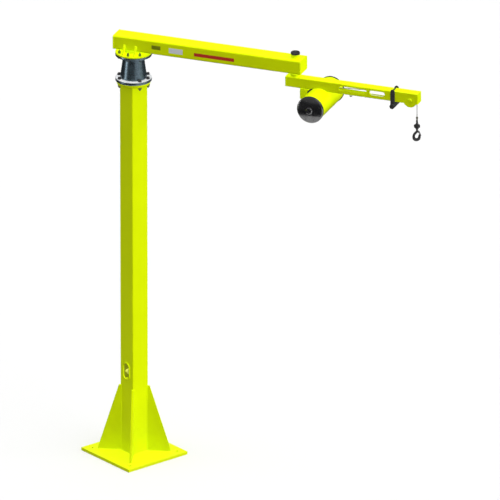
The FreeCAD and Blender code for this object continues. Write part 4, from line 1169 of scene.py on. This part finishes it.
@dataclass
class RopeDetail:
    """Rope laid from strands: the run through the arm and over the sheave, and the fall to the hook."""

    strands: int = 6
    lay: float = 0.040
    strand_share: float = 0.345
    step: float = 0.0022
    smooth: float = 80.0

    def build(self) -> None:
        """Make the run and the fall in place of the frame's plain rope."""
        run = Solid("rope_run_strands")
        self.lay_strands(run, self.run_course())
        piece = run.finish(ROPE_WIRE, Body.SECONDARY, smooth=self.smooth)
        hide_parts("rope_run")
        fall = Solid("rope_fall_strands")
        top, foot = (Vector((DATUM.rope_x, 0.0, level)) for level in (DATUM.sheave_level, DATUM.socket_high))
        down = Vector((0.0, 0.0, -1.0))
        self.lay_strands(fall, [(along, top + down * along, down) for along in self.stations((top - foot).length)])
        piece = fall.finish(ROPE_WIRE, smooth=self.smooth)
        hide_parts("rope_drop")
        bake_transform(piece)

    def stations(self, length: float) -> list[float]:
        """Distances along a line, a step apart."""
        count = int(length / self.step)
        return [length * i / count for i in range(count + 1)]

    def run_course(self) -> list[tuple[float, Vector, Vector]]:
        """The straight run from the balancer's outlet, and the wrap over the sheave.

        Returns:
            Distance, point and unit direction of each station.
        """
        reach, middle = DATUM.sheave_pitch, Vector((DATUM.sheave_x, 0.0, DATUM.sheave_level))
        start = Vector((DATUM.outlet_end_x, 0.0, DATUM.outlet_level))
        gap = middle - start
        wrap = math.pi + math.atan2(gap.z, gap.x) - math.acos(reach / gap.length)
        line = middle + Vector((math.cos(wrap), 0.0, math.sin(wrap))) * reach - start
        course = []
        for along in self.stations(line.length + reach * wrap):
            if along <= line.length:
                course.append((along, start + line * (along / line.length), line.normalized()))
                continue
            a = wrap - (along - line.length) / reach
            out = Vector((math.cos(a), 0.0, math.sin(a)))
            course.append((along, middle + out * reach, Vector((out.z, 0.0, -out.x))))
        return course

    def lay_strands(self, solid: Solid, course: Sequence[tuple[float, Vector, Vector]]) -> None:
        """Twist the strands along a line.

        Args:
            solid: Mesh to add to.
            course: Distance, point and unit direction of the line's stations.
        """
        thick = DATUM.rope_radius * self.strand_share
        reach = DATUM.rope_radius - thick
        across = Vector((0.0, 1.0, 0.0))
        for strand in range(self.strands):
            loops = []
            for along, spot, ahead in course:
                side = ahead.cross(across).normalized()
                a = 2 * math.pi * (strand / self.strands + along / self.lay)
                out = across * math.cos(a) + side * math.sin(a)
                turn = across * -math.sin(a) + side * math.cos(a)
                loops.append([spot + out * (reach + p.x) + turn * p.y for p in circle(thick, STRAND_SIDES)])
            solid.rings(loops)


@dataclass
class HookDetail:
    """Small parts of the hook set: crimps, boot, swivel screws, pin heads and the latch's folded sides."""

    crimp_levels: tuple[float, ...] = (3.1445, 3.1475, 3.1505)
    crimp_reach: float = 0.0079
    crimp: float = 0.0008
    boot: Profile = (
        (0.0104, -0.0006), (0.0104, 0.0030), (0.0090, 0.0045), (0.0096, 0.0075), (0.0080, 0.0100), (0.0088, 0.0130),
        (0.0074, 0.0155), (0.0082, 0.0185), (0.0070, 0.0215), (0.0077, 0.0245), (0.0068, 0.0290), (0.0066, 0.0360),
        (0.0060, 0.0370),
    )
    screw: Profile = (
        (0.0042, 0.0), (0.0042, 0.0022), (0.0034, 0.0030), (0.0019, 0.0030), (0.0018, 0.0012), (0.0002, 0.0012),
    )
    screw_level: float = 3.080
    screw_reach: float = 0.0225
    pin_head: Profile = ((0.0045, 0.0), (0.0045, 0.0008), (0.0036, 0.0018), (0.0018, 0.0023))
    pin_half: float = 0.008
    latch_sheet: float = 0.0012
    latch_bevel: float = 0.0003
    latch_outline: Profile = ((0.004, 0.0), (0.003, 0.0075), (-0.006, 0.006), (-0.001, 0.0))

    def build(self) -> None:
        """Make the hook set's added pieces."""
        turned = shift(DATUM.rope_x, 0.0, DATUM.hook_collar) @ Matrix.Rotation(DATUM.hook_turn, 4, "Z")
        self.crimps()
        self.stem_boot()
        self.swivel_screws()
        self.pin_heads(turned)
        self.latch_sides(turned)

    def crimps(self) -> None:
        """Pressed rings on the rope's ferrule."""
        solid = Solid("ferrule_crimps")
        for level in self.crimp_levels:
            solid.ring_bead(shift(DATUM.rope_x, 0.0, level), self.crimp_reach, self.crimp, 32)
        solid.finish(PRESSED_SLEEVE, Body.ROPE_END)

    def stem_boot(self) -> None:
        """Ribbed rubber boot on the stem between the ferrule and the swivel body."""
        solid = Solid("stem_boot")
        solid.turned(self.boot, shift(DATUM.rope_x, 0.0, DATUM.swivel_high))
        solid.finish(BLACK_RUBBER, Body.ROPE_END, smooth=50.0)

    def swivel_screws(self) -> None:
        """Four socket screws round the swivel body."""
        solid = Solid("swivel_screws")
        middle = shift(DATUM.rope_x, 0.0, self.screw_level)
        for i in range(4):
            a = math.pi / 4 + math.pi / 2 * i
            out = Vector((math.cos(a), math.sin(a), 0.0))
            facing = out.to_track_quat("Z", "Y").to_matrix().to_4x4()
            solid.turned(self.screw, middle @ Matrix.Translation(out * self.screw_reach) @ facing, 16)
        solid.finish(FORGED_BLACK, Body.ROPE_END)

    def pin_heads(self, at: Matrix) -> None:
        """Rivet heads on the ends of the latch's pin.

        Args:
            at: Frame on the hook's collar, turned with the hook.
        """
        solid = Solid("latch_pin_heads")
        for side, way in SIDES:
            spot = shift(-DATUM.latch_out, self.pin_half * side, -DATUM.latch_drop)
            solid.turned(self.pin_head, at @ spot @ way.value, 20)
        solid.finish(ZINC_PLATE, Body.HOOK)

    def latch_sides(self, at: Matrix) -> None:
        """Sides folded outward along the latch's edges, measured on from the pin or back from the latch's end.

        Args:
            at: Frame on the hook's collar, turned with the hook.
        """
        solid = Solid("latch_sides")
        top = Vector((-DATUM.latch_out, 0.0, -DATUM.latch_drop))
        foot = Vector((DATUM.latch_end_x, 0.0, -DATUM.latch_end_drop))
        along = (foot - top).normalized()
        out = Vector((along.z, 0.0, -along.x))
        outline = [(top if on > 0 else foot) + along * on + out * off for on, off in self.latch_outline]
        for side, _ in SIDES:
            edges = (shift(0.0, y * side, 0.0) for y in (DATUM.latch_half, DATUM.latch_half - self.latch_sheet))
            solid.rings([[at @ edge @ point for point in outline] for edge in edges])
        solid.finish(FORGED_BLACK, Body.LATCH, bevel=self.latch_bevel)


@dataclass
class Studio:
    """Pale floor, soft light and the photograph's camera."""

    azimuth: float = 20.85
    elevation: float = 22.2
    aim: Point = (0.8427, 0.3238, 1.7043)
    frame_width: float = 3.89
    distance: float = 180.0
    floor_hole: float = 0.0005
    floor_reach: float = 160.0
    floor_level: float = -0.0005
    flag_reach: float = 4.6
    flag_level: float = 0.002
    flag_sectors: tuple[Span, ...] = ((-170.0, 11.0), (88.0, 170.0))
    flag_steps: int = 40
    sky: float = 0.48
    ground: float = 0.094
    horizon: float = 0.15
    mirrored: float = 0.44
    backdrop: float = 0.975
    key: float = 4.0
    key_from: Point = (0.58, -0.08, 0.66)
    key_spread: float = 50.0
    open_share: float = 0.90
    fill: float = 1.0
    fill_from: Point = (-0.92, -0.26, 0.20)
    strip_at: Point = (-4.8, -3.6, 2.0)
    strip_size: Span = (0.8, 4.4)
    strip_power: float = 72.0

    def build(self) -> None:
        """Make the floor, the lights, the world and the camera."""
        self.floor()
        self.keys()
        self.strip()
        self.world()
        self.camera()

    def floor(self) -> None:
        """Plain floor under the base plate, and dark sectors round it that only reflections see."""
        middle = shift(DATUM.balancer_x, 0.0, self.floor_level)
        solid = Solid("floor")
        rims = (circle(reach, 96) for reach in (self.floor_reach, self.floor_hole))
        solid.rings([[middle @ point for point in rim] for rim in rims], closed=False)
        floor = solid.finish(FLOOR_FINISH)
        floor.visible_diffuse = False
        for i, (start, end) in enumerate(self.flag_sectors):
            flag = self.sector(f"flag_{i}", start, end)
            flag.visible_camera = flag.visible_diffuse = flag.visible_shadow = False

    def sector(self, name: str, start: float, end: float) -> Object:
        """Add a dark sector of a ring on the floor.

        Args:
            name: Name of the sector.
            start: Where it starts, in degrees round from the photograph's side.
            end: Where it ends.

        Returns:
            The Blender object.
        """
        solid = Solid(name)
        first, step = self.azimuth - 90.0 + start, (end - start) / self.flag_steps
        spot, rays = Vector((DATUM.balancer_x, 0.0, self.flag_level)), []
        for i in range(self.flag_steps + 1):
            a = math.radians(first + step * i)
            out = Vector((math.cos(a), math.sin(a), 0.0))
            rays.append((spot + out * self.flag_reach, spot + out * self.floor_reach))
        for (near, far), (next_near, next_far) in zip(rays, rays[1:]):
            solid.mesh.faces.new([solid.mesh.verts.new(point) for point in (near, far, next_far, next_near)])
        return solid.finish(FLAG_FINISH)

    def keys(self) -> None:
        """Broad light from the upper right, most of it as even as a light tent's, and fill from the left."""
        for name, energy, toward, shadow in (
            ("key_tent", self.key * self.open_share, self.key_from, False),
            ("key_soft", self.key * (1.0 - self.open_share), self.key_from, True),
            ("fill_tent", self.fill, self.fill_from, False),
        ):
            data = bpy.data.lights.new(name, "SUN")
            data.energy, data.angle, data.use_shadow = energy, math.radians(self.key_spread), shadow
            self.aimed(data, toward).visible_glossy = shadow

    def strip(self) -> None:
        """Tall strip at the left that draws a bright line down turned steel."""
        data = bpy.data.lights.new("strip", "AREA")
        data.shape, data.energy = "RECTANGLE", self.strip_power
        data.size, data.size_y = self.strip_size
        lamp = self.aimed(data, (*self.strip_at[:2], 0.0))
        lamp.location = self.strip_at
        lamp.visible_camera = lamp.visible_diffuse = False

    def aimed(self, data: bpy.types.Light, toward: Point) -> Object:
        """Hang a light that shines from a direction.

        Args:
            data: The light's data.
            toward: Direction from the hoist to the light.

        Returns:
            The light's object.
        """
        lamp = bpy.data.objects.new(data.name, data)
        lamp.rotation_mode = "QUATERNION"
        lamp.rotation_quaternion = Vector(toward).to_track_quat("Z", "Y")
        bpy.context.scene.collection.objects.link(lamp)
        return lamp

    def world(self) -> None:
        """Soft light from all round, dimmer in reflections, with a backdrop as pale as the floor."""
        world = bpy.data.worlds.new("studio")
        graph = Graph(world)
        ray = graph.node("LightPath").outputs
        level = graph.spread(graph.height("Generated"), self.ground, self.sky, -self.horizon, self.horizon)
        shown = graph.math("MULTIPLY", level, graph.spread(ray["Is Glossy Ray"], 1.0, self.mirrored))
        powers = (shown, self.backdrop)
        glows = [graph.node("Background", Color=(1.0, 1.0, 1.0), Strength=power).outputs[0] for power in powers]
        both = graph.node("MixShader")
        for socket, value in zip(both.inputs, (ray["Is Camera Ray"], *glows)):
            graph.feed(socket, value)
        graph.node("OutputWorld", Surface=both.outputs[0])
        bpy.context.scene.world = world

    def camera(self) -> None:
        """Camera at the photograph's angle, far off with a long lens."""
        a, e = math.radians(self.azimuth), math.radians(self.elevation)
        back = Vector((math.sin(a) * math.cos(e), -math.cos(a) * math.cos(e), math.sin(e)))
        data = bpy.data.cameras.new("photo_camera")
        data.sensor_width = 36.0
        data.lens = data.sensor_width * self.distance / self.frame_width
        data.clip_start, data.clip_end = 1.0, self.distance * 2
        camera = bpy.data.objects.new("photo_camera", data)
        camera.rotation_mode = "QUATERNION"
        camera.location = Vector(self.aim) + back * self.distance
        camera.rotation_quaternion = (-back).to_track_quat("-Z", "Y")
        bpy.context.scene.collection.objects.link(camera)
        bpy.context.scene.camera = camera
        bpy.context.scene.view_settings.view_transform = "Standard"


def corners(box: Iterable[Iterable[float]]) -> list[list[float]]:
    """A box as plain lists of numbers."""
    return [[float(v) for v in corner] for corner in box]


def main() -> None:
    """Load the frame, dress it, add the detail and light it."""
    logging.basicConfig(level=logging.INFO, format="%(message)s")
    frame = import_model()
    details = (ColumnDetail(), PrimaryDetail(), SecondaryDetail(), BalancerDetail(), RopeDetail(), HookDetail())
    for part in (FrameDress(frame["nodes"]), *details, Studio()):
        part.build()
        LOG.info("%s done", type(part).__name__)


if __name__ == "__main__":
    main()
